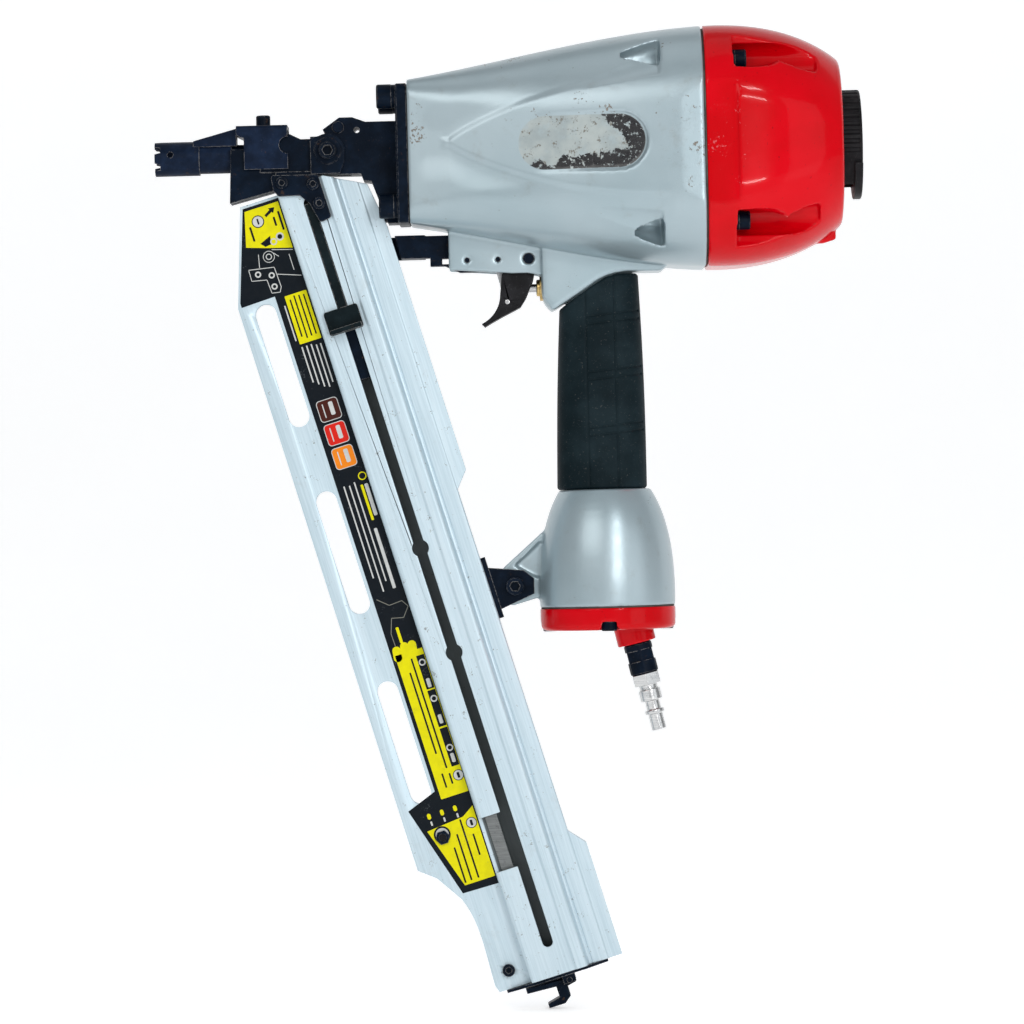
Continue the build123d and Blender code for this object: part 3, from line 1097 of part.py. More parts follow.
with BuildPart() as point_rail:
    # strip that closes the nail-point edge between the two plates
    with BuildSketch(mag_side(-PLATE_IN)):
        Polygon((1.3, -56), (3.6, -56), (3.2, -371), (0.6, -371), align=None)
    extrude(amount=2 * PLATE_IN)
point_rail.part.label = "point_rail"
export_step(point_rail.part, "parts/point_rail.step")

with BuildPart() as steel_rails:
    # two steel strips that hold the nail heads
    for side in (1, -1):
        with BuildSketch(mag_end(12)):
            with Locations(((NAIL_RAIL_A[0] + NAIL_RAIL_A[1]) / 2, side * (CAVITY_N + 2.4) / 2)):
                Rectangle(NAIL_RAIL_A[1] - NAIL_RAIL_A[0], CAVITY_N - 2.4)
        extrude(amount=MAG_LENGTH - 20)
    # steel strips that the pusher carriage runs on
    with BuildSketch(mag_end(8)):
        with Locations((46.6, 5.45)):
            Rectangle(6.6, 1.1)
        with Locations((62.9, 5.45)):
            Rectangle(5.6, 1.1)
    extrude(amount=MAG_LENGTH - 12)
steel_rails.part.label = "steel_rails"
export_step(steel_rails.part, "parts/steel_rails.step")

with BuildPart() as magazine_label:
    with BuildSketch(mag_side(PLATE_OUT)):
        Polygon((19.8, -3.5), (3.0, -51.5), (3.0, -54), (21.9, -53.6), (21.9, -334), (5.0, -340),
                (19.5, -391), (39.6, -391.5), (39.9, -3.5), align=None)
        with Locations(ANGLE_KNOB):
            Circle(4.4, mode=Mode.SUBTRACT)
        with Locations((WINDOW_A, -WINDOW_S[0])):
            SlotOverall(WINDOW_L + 1, WINDOW_W + 1, rotation=90, mode=Mode.SUBTRACT)
    extrude(amount=0.15)
magazine_label.part.label = "magazine_label"
export_step(magazine_label.part, "parts/magazine_label.step")

with BuildPart() as corner_bracket:
    with BuildSketch(mag_side(CASING_N)):
        Polygon((39.8, 8.6), (64.3, 1.2), (64.3, -22.8), (57.8, -23.8), (55.2, -12.1), (51.6, -6.5),
                (40.6, -3.6), (38.9, -0.3), align=None)
        with Locations(*[(a, -s) for a, s in BRACKET_SCREWS]):
            Circle(1.5 + PLAY, mode=Mode.SUBTRACT)
    extrude(amount=BRACKET_T)
    with BuildSketch(side_plane(-CASING_N - 5)):
        with Locations(WEDGE_SCREW):
            Circle(1.5 + PLAY)
    extrude(amount=-8, mode=Mode.SUBTRACT)
    fillet(corner_bracket.edges().filter_by(Axis.Y).group_by(SortBy.LENGTH)[-1], 1.6)
corner_bracket.part.label = "corner_bracket"
export_step(corner_bracket.part, "parts/corner_bracket.step")

with BuildPart() as magazine_screws:
    with BuildSketch(mag_side(CASING_N + BRACKET_T)):
        with Locations(*[(a, -s) for a, s in BRACKET_SCREWS]):
            Circle(3.3)
    extrude(amount=1.8)
    with BuildSketch(mag_side(CASING_N + BRACKET_T)):
        with Locations(*[(a, -s) for a, s in BRACKET_SCREWS]):
            Circle(1.5)
    extrude(amount=-4.6)
    with BuildSketch(side_plane(-CASING_N - BRACKET_T)):
        with Locations(WEDGE_SCREW):
            Circle(3.3)
    extrude(amount=1.8)
    with BuildSketch(side_plane(-CASING_N - BRACKET_T)):
        with Locations(WEDGE_SCREW):
            Circle(1.5)
    extrude(amount=-9.5)
    chamfer(magazine_screws.faces().sort_by(Axis.Y)[0:3].edges(), 0.4)
    with BuildSketch(mag_side(CASING_N + BRACKET_T + 1.8)):
        with Locations(*[(a, -s) for a, s in BRACKET_SCREWS]):
            RegularPolygon(1.5, 6, major_radius=False)
    extrude(amount=-1.2, mode=Mode.SUBTRACT)
    with BuildSketch(side_plane(-CASING_N - BRACKET_T - 1.8)):
        with Locations(WEDGE_SCREW):
            RegularPolygon(1.5, 6, major_radius=False)
    extrude(amount=-1.2, mode=Mode.SUBTRACT)
    # screw that clamps the tail of the window plates
    with BuildSketch(mag_side(PLATE_OUT)):
        with Locations(TAIL_SCREW):
            Circle(3.4)
    extrude(amount=2.4)
    with BuildSketch(mag_side(PLATE_OUT + 2.4)):
        with Locations(TAIL_SCREW):
            RegularPolygon(1.6, 6, major_radius=False)
    extrude(amount=-1.6, mode=Mode.SUBTRACT)
    with BuildSketch(mag_side(PLATE_OUT)):
        with Locations(TAIL_SCREW):
            Circle(2)
    extrude(amount=-2 * PLATE_OUT)
magazine_screws.part.label = "magazine_screws"
export_step(magazine_screws.part, "parts/magazine_screws.step")

with BuildPart() as pusher:
    # carriage in the casing, the follower that lifts the nails and the cup for the rolled spring
    with BuildSketch(mag_side(6.1)):
        Polygon((44, -TAB_S), (65, -TAB_S), (65, -95), (44, -95), align=None)
    extrude(amount=CARRIAGE_TOP_N - 6.1)
    with BuildSketch(mag_side(-1.6)):
        Polygon((24, -66), (64, -78), (64, -95), (24, -95), align=None)
    extrude(amount=3.2)
    with BuildSketch(mag_side(1.6)):
        Polygon((50.4, -79), (59.6, -79), (59.6, -95), (50.4, -95), align=None)
    extrude(amount=4.5)
    with BuildSketch(mag_side(-2.6)):
        Polygon((50.4, -95), (59.6, -95), (59.6, -111), (50.4, -111), align=None)
    extrude(amount=13.0)
    with BuildSketch(mag_across(50)):
        with Locations((COIL_S, COIL_N)):
            Circle(COIL_R + 0.1)
    extrude(amount=-12, mode=Mode.SUBTRACT)
pusher.part.label = "pusher"
export_step(pusher.part, "parts/pusher.step")

with BuildPart() as pusher_tab:
    # bent steel tab that the finger pulls, its neck through the slot and the long arm up to the last nail
    with BuildSketch(mag_side(CARRIAGE_TOP_N)):
        Polygon((52.5, -SLOT_TOP_S - 3), (57.5, -SLOT_TOP_S - 3), (57.5, -84), (52.5, -84), align=None)
    extrude(amount=2.4)
    with BuildSketch(mag_side(CARRIAGE_TOP_N + 2.4)):
        Polygon((52.5, -TAB_S), (57.5, -TAB_S), (57.5, -84), (52.5, -84), align=None)
    extrude(amount=0.6)
    with BuildSketch(mag_side(13.4)):
        with Locations(((44 + 63) / 2, -(TAB_S + TAB_L / 2))):
            RectangleRounded(19, TAB_L, 1.5)
    extrude(amount=2.4)
    with BuildSketch(mag_side(15.8)):
        Polygon((44.8, -TAB_S - TAB_L + 2.8), (62.2, -TAB_S - TAB_L + 2.8), (62.2, -TAB_S - TAB_L + 0.2),
                (44.8, -TAB_S - TAB_L + 0.2), align=None)
    extrude(amount=9.5)
pusher_tab.part.label = "pusher_tab"
export_step(pusher_tab.part, "parts/pusher_tab.step")

with BuildPart() as feed_spring:
    with BuildSketch(mag_across(50.8)):
        with Locations((COIL_S, COIL_N)):
            Circle(COIL_R)
            Circle(2.6, mode=Mode.SUBTRACT)
    extrude(amount=-8.4)
feed_spring.part.label = "feed_spring"
export_step(feed_spring.part, "parts/feed_spring.step")

with BuildPart() as feed_ribbon:
    with BuildSketch(mag_side(-3.5)):
        Polygon((51, -12), (59, -12), (59, -COIL_S), (51, -COIL_S), align=None)
    extrude(amount=0.2)
feed_ribbon.part.label = "feed_ribbon"
export_step(feed_ribbon.part, "parts/feed_ribbon.step")

with BuildPart() as tail_plate:
    with BuildSketch(mag_end(MAG_LENGTH)):
        Polygon((26, -7), (83, -7), (83, 8), (71, 12), (42, 12), (26, 5), align=None)
    extrude(amount=1.6)
    for n in (-6.2, 9.2):
        with BuildSketch(mag_side(n)):
            with Locations((60, -MAG_LENGTH - 3.5)):
                Rectangle(7, 5)
            with Locations(LATCH_PIVOT):
                Circle(1.5 + PLAY, mode=Mode.SUBTRACT)
        extrude(amount=2)
tail_plate.part.label = "tail_plate"
export_step(tail_plate.part, "parts/tail_plate.step")

with BuildPart() as tail_latch:
    with BuildSketch(mag_side(-4)):
        Polygon((36, -450), (61, -450), (63, -454.5), (58, -455.5), (58, -461), (54, -464), (45, -464),
                (45, -461.5), (52, -460), (52, -454), (36, -453), align=None)
        with Locations(LATCH_PIVOT):
            Circle(1.5 + PLAY, mode=Mode.SUBTRACT)
    extrude(amount=13)
tail_latch.part.label = "tail_latch"
export_step(tail_latch.part, "parts/tail_latch.step")

with BuildPart() as latch_pin:
    with BuildSketch(mag_side(-6.6)):
        with Locations(LATCH_PIVOT):
            Circle(1.5)
    extrude(amount=18.2)
latch_pin.part.label = "latch_pin"
export_step(latch_pin.part, "parts/latch_pin.step")

with BuildPart() as tail_spacer:
    with BuildSketch(mag_side(-PLATE_IN)):
        Polygon((23, -428), (39, -428), (39, -446), (23, -446), align=None)
        with Locations(TAIL_SCREW):
            Circle(2 + PLAY, mode=Mode.SUBTRACT)
    extrude(amount=2 * PLATE_IN)
tail_spacer.part.label = "tail_spacer"
export_step(tail_spacer.part, "parts/tail_spacer.step")

with BuildPart() as angle_knob:
    # knurled knob on the far side that locks the nail-angle setting
    with BuildSketch(mag_side(-PLATE_OUT - 0.1)):
        with Locations(ANGLE_KNOB):
            Circle(4.5)
    extrude(amount=-2.4)
    with BuildSketch(mag_side(-PLATE_OUT - 2.5)):
        with Locations(ANGLE_KNOB):
            Circle(8)
            with PolarLocations(8.3, 18):
                Circle(0.9, mode=Mode.SUBTRACT)
    extrude(amount=-8)
    with BuildSketch(mag_side(-PLATE_OUT - 0.1)):
        with Locations(ANGLE_KNOB):
            Circle(2)
    extrude(amount=2 * PLATE_OUT + 1.9)
angle_knob.part.label = "angle_knob"
export_step(angle_knob.part, "parts/angle_knob.step")

with BuildPart() as support_bracket:
    # clevis between the magazine's spine and the web on the bell
    with BuildSketch(mag_across(SPINE_A)):
        with Locations((239, 0)):
            RectangleRounded(34, 15.6, 2)
    extrude(amount=-2.6)
    with BuildSketch(side_plane(0)):
        Polygon((36.6, -224.8), (56, -226.5), (61.5, -231), (61.5, -239.2), (43.5, -247.2), align=None)
        with Locations(SUPPORT_BOLT):
            Circle(3 + PLAY, mode=Mode.SUBTRACT)
    extrude(amount=7.6, both=True)
    with BuildSketch(side_plane(0)):
        Polygon((34.6, -215), (44.9, -250), (80, -250), (80, -215), align=None)
    extrude(amount=4.6, both=True, mode=Mode.SUBTRACT)
    with BuildSketch(mag_side(-12)):
        Polygon((60, -200), (SPINE_A, -200), (SPINE_A, -270), (60, -270), align=None)
    extrude(amount=24, mode=Mode.SUBTRACT)
support_bracket.part.label = "support_bracket"
export_step(support_bracket.part, "parts/support_bracket.step")

with BuildPart() as support_bolt:
    with BuildSketch(side_plane(-7.6)):
        with Locations(SUPPORT_BOLT):
            Circle(4.8)
    extrude(amount=3.6)
    chamfer(support_bolt.faces().sort_by(Axis.Y)[0].edges(), 0.5)
    with BuildSketch(side_plane(-11.2)):
        with Locations(SUPPORT_BOLT):
            RegularPolygon(2.5, 6, major_radius=False)
    extrude(amount=-2.6, mode=Mode.SUBTRACT)
    with BuildSketch(side_plane(-7.6)):
        with Locations(SUPPORT_BOLT):
            Circle(3)
    extrude(amount=-21)
support_bolt.part.label = "support_bolt"
export_step(support_bolt.part, "parts/support_bolt.step")

with BuildPart() as hex_nuts:
    # on the angle knob's stud and on the support bolt
    with BuildSketch(mag_side(PLATE_OUT)):
        with Locations(ANGLE_KNOB):
            RegularPolygon(3.5, 6, major_radius=False)
            Circle(2 + PLAY, mode=Mode.SUBTRACT)
    extrude(amount=1.6)
    with BuildSketch(side_plane(7.6)):
        with Locations(SUPPORT_BOLT):
            RegularPolygon(5, 6, major_radius=False)
            Circle(3 + PLAY, mode=Mode.SUBTRACT)
    extrude(amount=-5)
hex_nuts.part.label = "hex_nuts"
export_step(hex_nuts.part, "parts/hex_nuts.step")
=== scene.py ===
import json
import math
import bpy
import numpy as np
from mathutils import Matrix, Vector


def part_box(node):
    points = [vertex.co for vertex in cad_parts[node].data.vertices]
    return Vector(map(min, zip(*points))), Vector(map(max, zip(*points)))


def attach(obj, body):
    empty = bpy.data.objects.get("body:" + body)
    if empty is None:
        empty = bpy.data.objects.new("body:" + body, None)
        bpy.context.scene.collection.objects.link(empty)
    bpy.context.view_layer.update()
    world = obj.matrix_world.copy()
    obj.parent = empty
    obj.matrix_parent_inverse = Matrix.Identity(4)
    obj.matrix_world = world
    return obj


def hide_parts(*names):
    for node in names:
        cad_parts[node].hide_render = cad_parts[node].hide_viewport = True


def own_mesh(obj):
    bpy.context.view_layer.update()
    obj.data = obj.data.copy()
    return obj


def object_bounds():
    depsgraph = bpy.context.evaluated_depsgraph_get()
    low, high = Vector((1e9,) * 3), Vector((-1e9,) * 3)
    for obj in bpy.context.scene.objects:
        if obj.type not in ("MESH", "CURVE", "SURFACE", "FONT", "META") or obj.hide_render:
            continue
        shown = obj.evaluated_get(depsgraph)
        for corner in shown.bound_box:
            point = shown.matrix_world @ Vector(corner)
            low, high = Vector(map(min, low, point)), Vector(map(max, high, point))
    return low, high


# Looks of the pneumatic framing nailer. Lengths are in metres unless a comment says millimetres. The CAD
# frame's origin is where the drive axis leaves the housing's nose face, +X runs to the rear, +Z away from
# the handle, and -Y is the near side.

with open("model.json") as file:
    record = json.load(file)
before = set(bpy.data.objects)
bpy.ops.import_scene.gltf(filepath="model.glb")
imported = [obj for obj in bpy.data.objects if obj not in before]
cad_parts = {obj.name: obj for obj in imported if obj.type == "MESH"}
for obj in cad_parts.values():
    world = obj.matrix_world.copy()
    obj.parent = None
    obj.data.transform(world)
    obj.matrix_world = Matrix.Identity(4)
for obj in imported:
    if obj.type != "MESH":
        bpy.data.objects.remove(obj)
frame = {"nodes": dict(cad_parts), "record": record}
cad_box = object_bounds()
NODES = frame["nodes"]
MM = 0.001

# ---------------------------------------------------------------- places on the tool
grip_low, grip_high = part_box("grip_sleeve")
# the magazine: its lean, its two directions in the side view, and its front top corner
MAG_LEAN = math.radians(16.4)
ACROSS = Vector((math.cos(MAG_LEAN), 0, math.sin(MAG_LEAN)))
DOWN = Vector((math.sin(MAG_LEAN), 0, -math.cos(MAG_LEAN)))
MAG_CORNER = Vector((-0.1104, 0, -0.0303))
# the oval recess of the badge on the barrel's near side
BADGE_CENTRE = Vector((0.0927, 0, 0.0005))
BADGE_HALF_LENGTH, BADGE_HALF_HEIGHT = 0.035, 0.0155
# places that get knocked or rubbed
NOSE_FACE = (0.002, -0.03, 0.012)
BADGE_RIM = (0.0927, -0.054, 0.012)
BADGE_FACE = (0.0927, -0.054, 0.0)
HOUSING_FLAT = (0.152, -0.062, 0.0)
LUG_FRONT = (0.134, -0.045, 0.050)
BARREL_TOP = (0.05, -0.03, 0.046)
CAP_FLAT = (0.166, -0.062, 0.0)
CAP_SHOULDER = (0.176, -0.058, 0.0)


def mag_point(a, s, n):
    """Row-frame point of magazine coordinates in millimetres: across, down, and out on the near side."""
    return MAG_CORNER + ACROSS * a * MM + DOWN * s * MM + Vector((0, -n * MM, 0))


# ---------------------------------------------------------------- material graph helper
class Graph:
    """A short way to write one procedural material."""

    def __init__(self, name):
        self.material = bpy.data.materials.new(name)
        self.material.use_nodes = True
        self.tree = self.material.node_tree
        self.surface = self.tree.nodes["Principled BSDF"]
        self.place = self.node("ShaderNodeTexCoord").outputs["Object"]

    def node(self, kind, **settings):
        made = self.tree.nodes.new(kind)
        for key, value in settings.items():
            setattr(made, key, value)
        return made

    def plug(self, socket, value):
        if isinstance(value, bpy.types.NodeSocket):
            self.tree.links.new(value, socket)
        elif isinstance(value, (tuple, list)) and len(value) == 3 and socket.type == "RGBA":
            socket.default_value = (*value, 1)
        else:
            socket.default_value = value

    def stretched(self, scale, lean=0.0):
        """Object coordinates turned by lean about Y and then scaled, for streaks that run one way."""
        turn = self.node("ShaderNodeMapping", vector_type="POINT")
        self.plug(turn.inputs["Vector"], self.place)
        turn.inputs["Rotation"].default_value = (0, lean, 0)
        squeeze = self.node("ShaderNodeMapping", vector_type="POINT")
        self.plug(squeeze.inputs["Vector"], turn.outputs["Vector"])
        squeeze.inputs["Scale"].default_value = scale
        return squeeze.outputs["Vector"]

    def noise(self, scale, detail=4.0, rough=0.55, place=None):
        made = self.node("ShaderNodeTexNoise")
        self.plug(made.inputs["Vector"], place or self.place)
        made.inputs["Scale"].default_value = scale
        made.inputs["Detail"].default_value = detail
        made.inputs["Roughness"].default_value = rough
        return made.outputs["Fac"]

    def cells(self, scale, place=None):
        made = self.node("ShaderNodeTexVoronoi", feature="DISTANCE_TO_EDGE")
        self.plug(made.inputs["Vector"], place or self.place)
        made.inputs["Scale"].default_value = scale
        return made.outputs["Distance"]

    def math(self, operation, a, b=0.0, c=0.0):
        made = self.node("ShaderNodeMath", operation=operation)
        for socket, value in zip(made.inputs, (a, b, c)):
            self.plug(socket, value)
        return made.outputs[0]

    def plus(self, a, b):
        return self.math("ADD", a, b)

    def minus(self, a, b):
        return self.math("SUBTRACT", a, b)

    def times(self, a, b):
        return self.math("MULTIPLY", a, b)

    def between(self, value, low, high, to_low=0.0, to_high=1.0):
        """value mapped smoothly from low..high to to_low..to_high, and held outside."""
        made = self.node("ShaderNodeMapRange", interpolation_type="SMOOTHSTEP")
        self.plug(made.inputs["Value"], value)
        made.inputs["From Min"].default_value = low
        made.inputs["From Max"].default_value = high
        made.inputs["To Min"].default_value = to_low
        made.inputs["To Max"].default_value = to_high
        return made.outputs["Result"]

    def mix(self, amount, a, b):
        made = self.node("ShaderNodeMix", data_type="RGBA")
        self.plug(made.inputs["Factor"], amount)
        self.plug(made.inputs["A"], a)
        self.plug(made.inputs["B"], b)
        return made.outputs["Result"]

    def axis(self, letter):
        made = self.node("ShaderNodeSeparateXYZ")
        self.plug(made.inputs[0], self.place)
        return made.outputs["XYZ".index(letter)]

    def near(self, centre, radii, soft=0.5):
        """1 inside an ellipsoid around a place in the row frame, falling to 0 at its surface."""
        shift = self.node("ShaderNodeMapping", vector_type="POINT")
        self.plug(shift.inputs["Vector"], self.place)
        shift.inputs["Location"].default_value = [-c / r for c, r in zip(centre, radii)]
        shift.inputs["Scale"].default_value = [1 / r for r in radii]
        length = self.node("ShaderNodeVectorMath", operation="LENGTH")
        self.plug(length.inputs[0], shift.outputs["Vector"])
        return self.between(length.outputs["Value"], 1 - soft, 1.0, 1.0, 0.0)

    def any_of(self, *masks):
        total = masks[0]
        for mask in masks[1:]:
            total = self.math("MAXIMUM", total, mask)
        return total

    def worn_edges(self, radius, low=0.02, high=0.12, breakup=None):
        """1 on convex and concave edges, from the difference between the true and a rounded normal."""
        bevel = self.node("ShaderNodeBevel", samples=4)
        bevel.inputs["Radius"].default_value = radius
        true = self.node("ShaderNodeNewGeometry").outputs["Normal"]
        dot = self.node("ShaderNodeVectorMath", operation="DOT_PRODUCT")
        self.plug(dot.inputs[0], bevel.outputs["Normal"])
        self.plug(dot.inputs[1], true)
        edge = self.minus(1.0, dot.outputs["Value"])
        if breakup is not None:
            edge = self.times(edge, breakup)
        return self.between(edge, low, high)

    def bump(self, height, strength, distance, normal=None):
        made = self.node("ShaderNodeBump")
        self.plug(made.inputs["Height"], height)
        made.inputs["Strength"].default_value = strength
        made.inputs["Distance"].default_value = distance
        if normal is not None:
            self.plug(made.inputs["Normal"], normal)
        return made.outputs["Normal"]

    def finish(self, color, rough, metallic=0.0, normal=None, coat=0.0, coat_rough=0.1, specular=0.5):
        self.plug(self.surface.inputs["Base Color"], color)
        self.plug(self.surface.inputs["Roughness"], rough)
        self.plug(self.surface.inputs["Metallic"], metallic)
        self.plug(self.surface.inputs["Coat Weight"], coat)
        self.surface.inputs["Coat Roughness"].default_value = coat_rough
        self.surface.inputs["Specular IOR Level"].default_value = specular
        if normal is not None:
            self.plug(self.surface.inputs["Normal"], normal)
        return self.material


# ---------------------------------------------------------------- materials
def silver_paint():
    """Satin silver-grey paint with flake, orange peel, grime and chips, and the worn badge film."""
    g = Graph("silver_paint")
    flake = g.noise(9000, 2, 0.6)
    cloud = g.noise(14, 3, 0.5)
    paint = g.mix(g.between(cloud, 0.3, 0.7), (0.29, 0.375, 0.41), (0.345, 0.425, 0.46))
    paint = g.mix(g.times(g.between(flake, 0.5, 0.75), 0.22), paint, (0.66, 0.71, 0.74))
    grime = g.times(g.between(g.noise(60, 8, 0.7), 0.56, 0.72), 0.22)
    paint = g.mix(grime, paint, (0.20, 0.185, 0.16))
    knocks = g.any_of(g.near(NOSE_FACE, (0.016, 0.03, 0.034), 0.8),
                      g.near(BADGE_RIM, (0.056, 0.03, 0.020), 0.7),
                      g.near(HOUSING_FLAT, (0.017, 0.02, 0.036), 0.6),
                      g.near(LUG_FRONT, (0.008, 0.02, 0.008), 0.8),
                      g.near(BARREL_TOP, (0.03, 0.04, 0.01), 0.8))
    speck = g.plus(g.noise(620, 5, 0.6), g.times(g.noise(85, 3, 0.5), 0.55))
    chip = g.between(g.plus(speck, g.times(knocks, 0.13)), 1.035, 1.05)
    edge = g.worn_edges(0.0007, 0.05, 0.22, g.between(g.noise(260, 5, 0.6), 0.42, 0.62))
    bare = g.mix(g.noise(1500, 3, 0.6), (0.10, 0.085, 0.07), (0.30, 0.28, 0.25))
    color = g.mix(chip, paint, bare)
    color = g.mix(g.times(edge, 0.8), color, (0.36, 0.35, 0.33))
    # fine scratches on the resting flat and over the badge
    scratch = g.between(g.cells(190, g.stretched((1, 1, 3.2), 0.5)), 0.0, 0.02, 1.0, 0.0)
    scratch = g.times(scratch, g.any_of(g.near(HOUSING_FLAT, (0.018, 0.02, 0.04), 0.4),
                                        g.near(BADGE_FACE, (0.04, 0.03, 0.018), 0.3)))
    scratch = g.times(scratch, g.between(g.noise(300, 4), 0.45, 0.6))
    color = g.mix(g.times(scratch, 0.55), color, (0.27, 0.26, 0.24))
    film, glue = badge_film(g)
    blot = g.plus(g.noise(190, 7, 0.7), g.times(g.noise(900, 5, 0.7), 0.4))
    scuffed = g.mix(g.between(g.noise(60, 4), 0.35, 0.65), (0.27, 0.315, 0.32), (0.37, 0.41, 0.40))
    color = g.mix(glue, color, g.mix(g.between(blot, 0.76, 0.84), scuffed, (0.12, 0.105, 0.08)))
    color = g.mix(film, color, (0.006, 0.006, 0.008))
    rough = g.plus(g.times(g.noise(90, 4), 0.14), 0.27)
    rough = g.plus(rough, g.times(g.any_of(chip, glue), 0.3))
    rough = g.minus(rough, g.times(film, 0.35))
    height = g.minus(g.times(g.noise(1100, 2), 0.10), g.times(g.any_of(chip, scratch), 0.9))
    height = g.plus(height, g.times(film, 0.8))
    metallic = g.times(g.minus(1.0, g.any_of(film, glue)), 0.5)
    return g.finish(color, rough, metallic, g.bump(height, 0.35, 0.0003), coat=0.25, coat_rough=0.16)


def badge_film(g):
    """Two masks in the near oval recess: what is left of its black film, and the scuffed glue under it."""
    x = g.minus(g.axis("X"), BADGE_CENTRE.x)
    z = g.minus(g.axis("Z"), BADGE_CENTRE.z)
    straight = BADGE_HALF_LENGTH - BADGE_HALF_HEIGHT
    beyond = g.math("MAXIMUM", g.minus(g.math("ABSOLUTE", x), straight), 0.0)
    reach = g.math("SQRT", g.plus(g.times(beyond, beyond), g.times(z, z)))
    near_side = g.between(g.axis("Y"), -0.040, -0.038, 1.0, 0.0)
    rim = BADGE_HALF_HEIGHT - 0.0010
    inside = g.times(g.between(reach, rim - 0.0006, rim, 1.0, 0.0), near_side)
    ragged = g.times(g.minus(g.noise(130, 7, 0.7), 0.5), 0.022)
    slope = g.times(x, 0.16)
    level = g.plus(g.plus(z, ragged), 0.0072)
    lower = g.between(g.minus(level, slope), 0.0, 0.0005, 1.0, 0.0)
    rear_end = g.between(g.plus(g.plus(x, ragged), g.times(z, 0.9)), 0.0225, 0.0232)
    film = g.times(inside, g.any_of(lower, rear_end))
    film = g.times(film, g.between(g.noise(420, 5, 0.7), 0.40, 0.43))
    return film, g.times(inside, g.between(g.noise(160, 7, 0.7), 0.36, 0.5, 0.55, 0.95))


def red_paint():
    """Deep glossy red with faint ripples, hair scratches and pale chips on the rims."""
    g = Graph("red_paint")
    cloud = g.noise(20, 4, 0.5)
    color = g.mix(g.between(cloud, 0.35, 0.65), (0.50, 0.0, 0.003), (0.60, 0.0, 0.006))
    edge = g.worn_edges(0.0008, 0.03, 0.16, g.between(g.noise(300, 6, 0.7), 0.46, 0.66))
    color = g.mix(g.times(edge, 0.75), color, (0.80, 0.42, 0.42))
    zone = g.any_of(g.near(CAP_FLAT, (0.012, 0.02, 0.03), 0.6),
                    g.near(CAP_SHOULDER, (0.006, 0.02, 0.045), 0.5))
    scuff = g.plus(g.noise(560, 6, 0.65), g.times(g.noise(120, 3, 0.5), 0.5))
    scuff = g.between(g.plus(scuff, g.times(zone, 0.12)), 1.03, 1.06)
    color = g.mix(g.times(scuff, 0.45), color, (0.62, 0.16, 0.18))
    hair = g.between(g.cells(60, g.stretched((1.0, 1.0, 4.0), 0.3)), 0.0, 0.006, 1.0, 0.0)
    hair = g.times(hair, g.between(g.noise(80, 4), 0.5, 0.62))
    dark = g.times(g.between(g.noise(700, 5, 0.6), 0.66, 0.70), 0.5)
    color = g.mix(dark, color, (0.05, 0.004, 0.006))
    rough = g.plus(g.times(g.noise(50, 5), 0.10), 0.13)
    rough = g.plus(rough, g.times(g.any_of(scuff, edge, hair), 0.3))
    height = g.minus(g.times(g.noise(160, 2), 0.5), g.times(g.any_of(scuff, hair), 0.5))
    ripple = g.bump(height, 0.10, 0.0004)
    return g.finish(color, rough, 0.0, ripple, coat=0.16, coat_rough=0.05, specular=0.06)


def grip_rubber():
    """Matt green-grey rubber: fine grain and dust in the grooves."""
    g = Graph("grip_rubber")
    blotch = g.noise(38, 5, 0.6)
    color = g.mix(g.between(blotch, 0.35, 0.7), (0.003, 0.009, 0.012), (0.010, 0.020, 0.025))
    groove = g.worn_edges(0.0010, 0.04, 0.2, g.between(g.noise(500, 4), 0.3, 0.6))
    color = g.mix(g.times(groove, 0.35), color, (0.085, 0.092, 0.09))
    dust = g.times(g.between(g.noise(900, 6, 0.7), 0.60, 0.68), 0.25)
    color = g.mix(dust, color, (0.16, 0.16, 0.15))
    rough = g.plus(g.times(blotch, 0.22), 0.47)
    grain = g.plus(g.noise(3800, 3, 0.6), g.times(g.noise(700, 3), 0.4))
    return g.finish(color, rough, 0.0, g.bump(grain, 0.22, 0.00015), specular=0.07)


def black_steel(name="black_steel", tint=(0.001, 0.004, 0.010), wear=1.0, gloss=0.34):
    """Black oxide over steel: bluish black, grey on the edges, traces of rust and dirt."""
    g = Graph(name)
    cloud = g.noise(120, 5, 0.6)
    lighter = tuple(c * 2.0 + 0.001 for c in tint)
    color = g.mix(g.between(cloud, 0.35, 0.75), tint, lighter)
    edge = g.worn_edges(0.0006, 0.015, 0.14, g.between(g.noise(480, 5, 0.65), 0.36, 0.58))
    edge = g.times(edge, wear)
    color = g.mix(g.times(edge, 0.75), color, (0.30, 0.29, 0.28))
    rust = g.times(g.between(g.noise(230, 7, 0.7), 0.61, 0.70), 0.45)
    color = g.mix(rust, color, (0.085, 0.045, 0.022))
    dust = g.times(g.between(g.noise(1300, 4, 0.7), 0.63, 0.70), 0.2)
    color = g.mix(dust, color, (0.12, 0.12, 0.11))
    rough = g.plus(g.times(g.noise(260, 5), 0.30), gloss - 0.12)
    rough = g.plus(rough, g.times(rust, 0.6))
    metallic = g.times(edge, 0.5)
    height = g.plus(g.noise(1500, 3), g.times(g.noise(240, 4), 1.2))
    return g.finish(color, rough, metallic, g.bump(height, 0.22, 0.00016), specular=0.06)


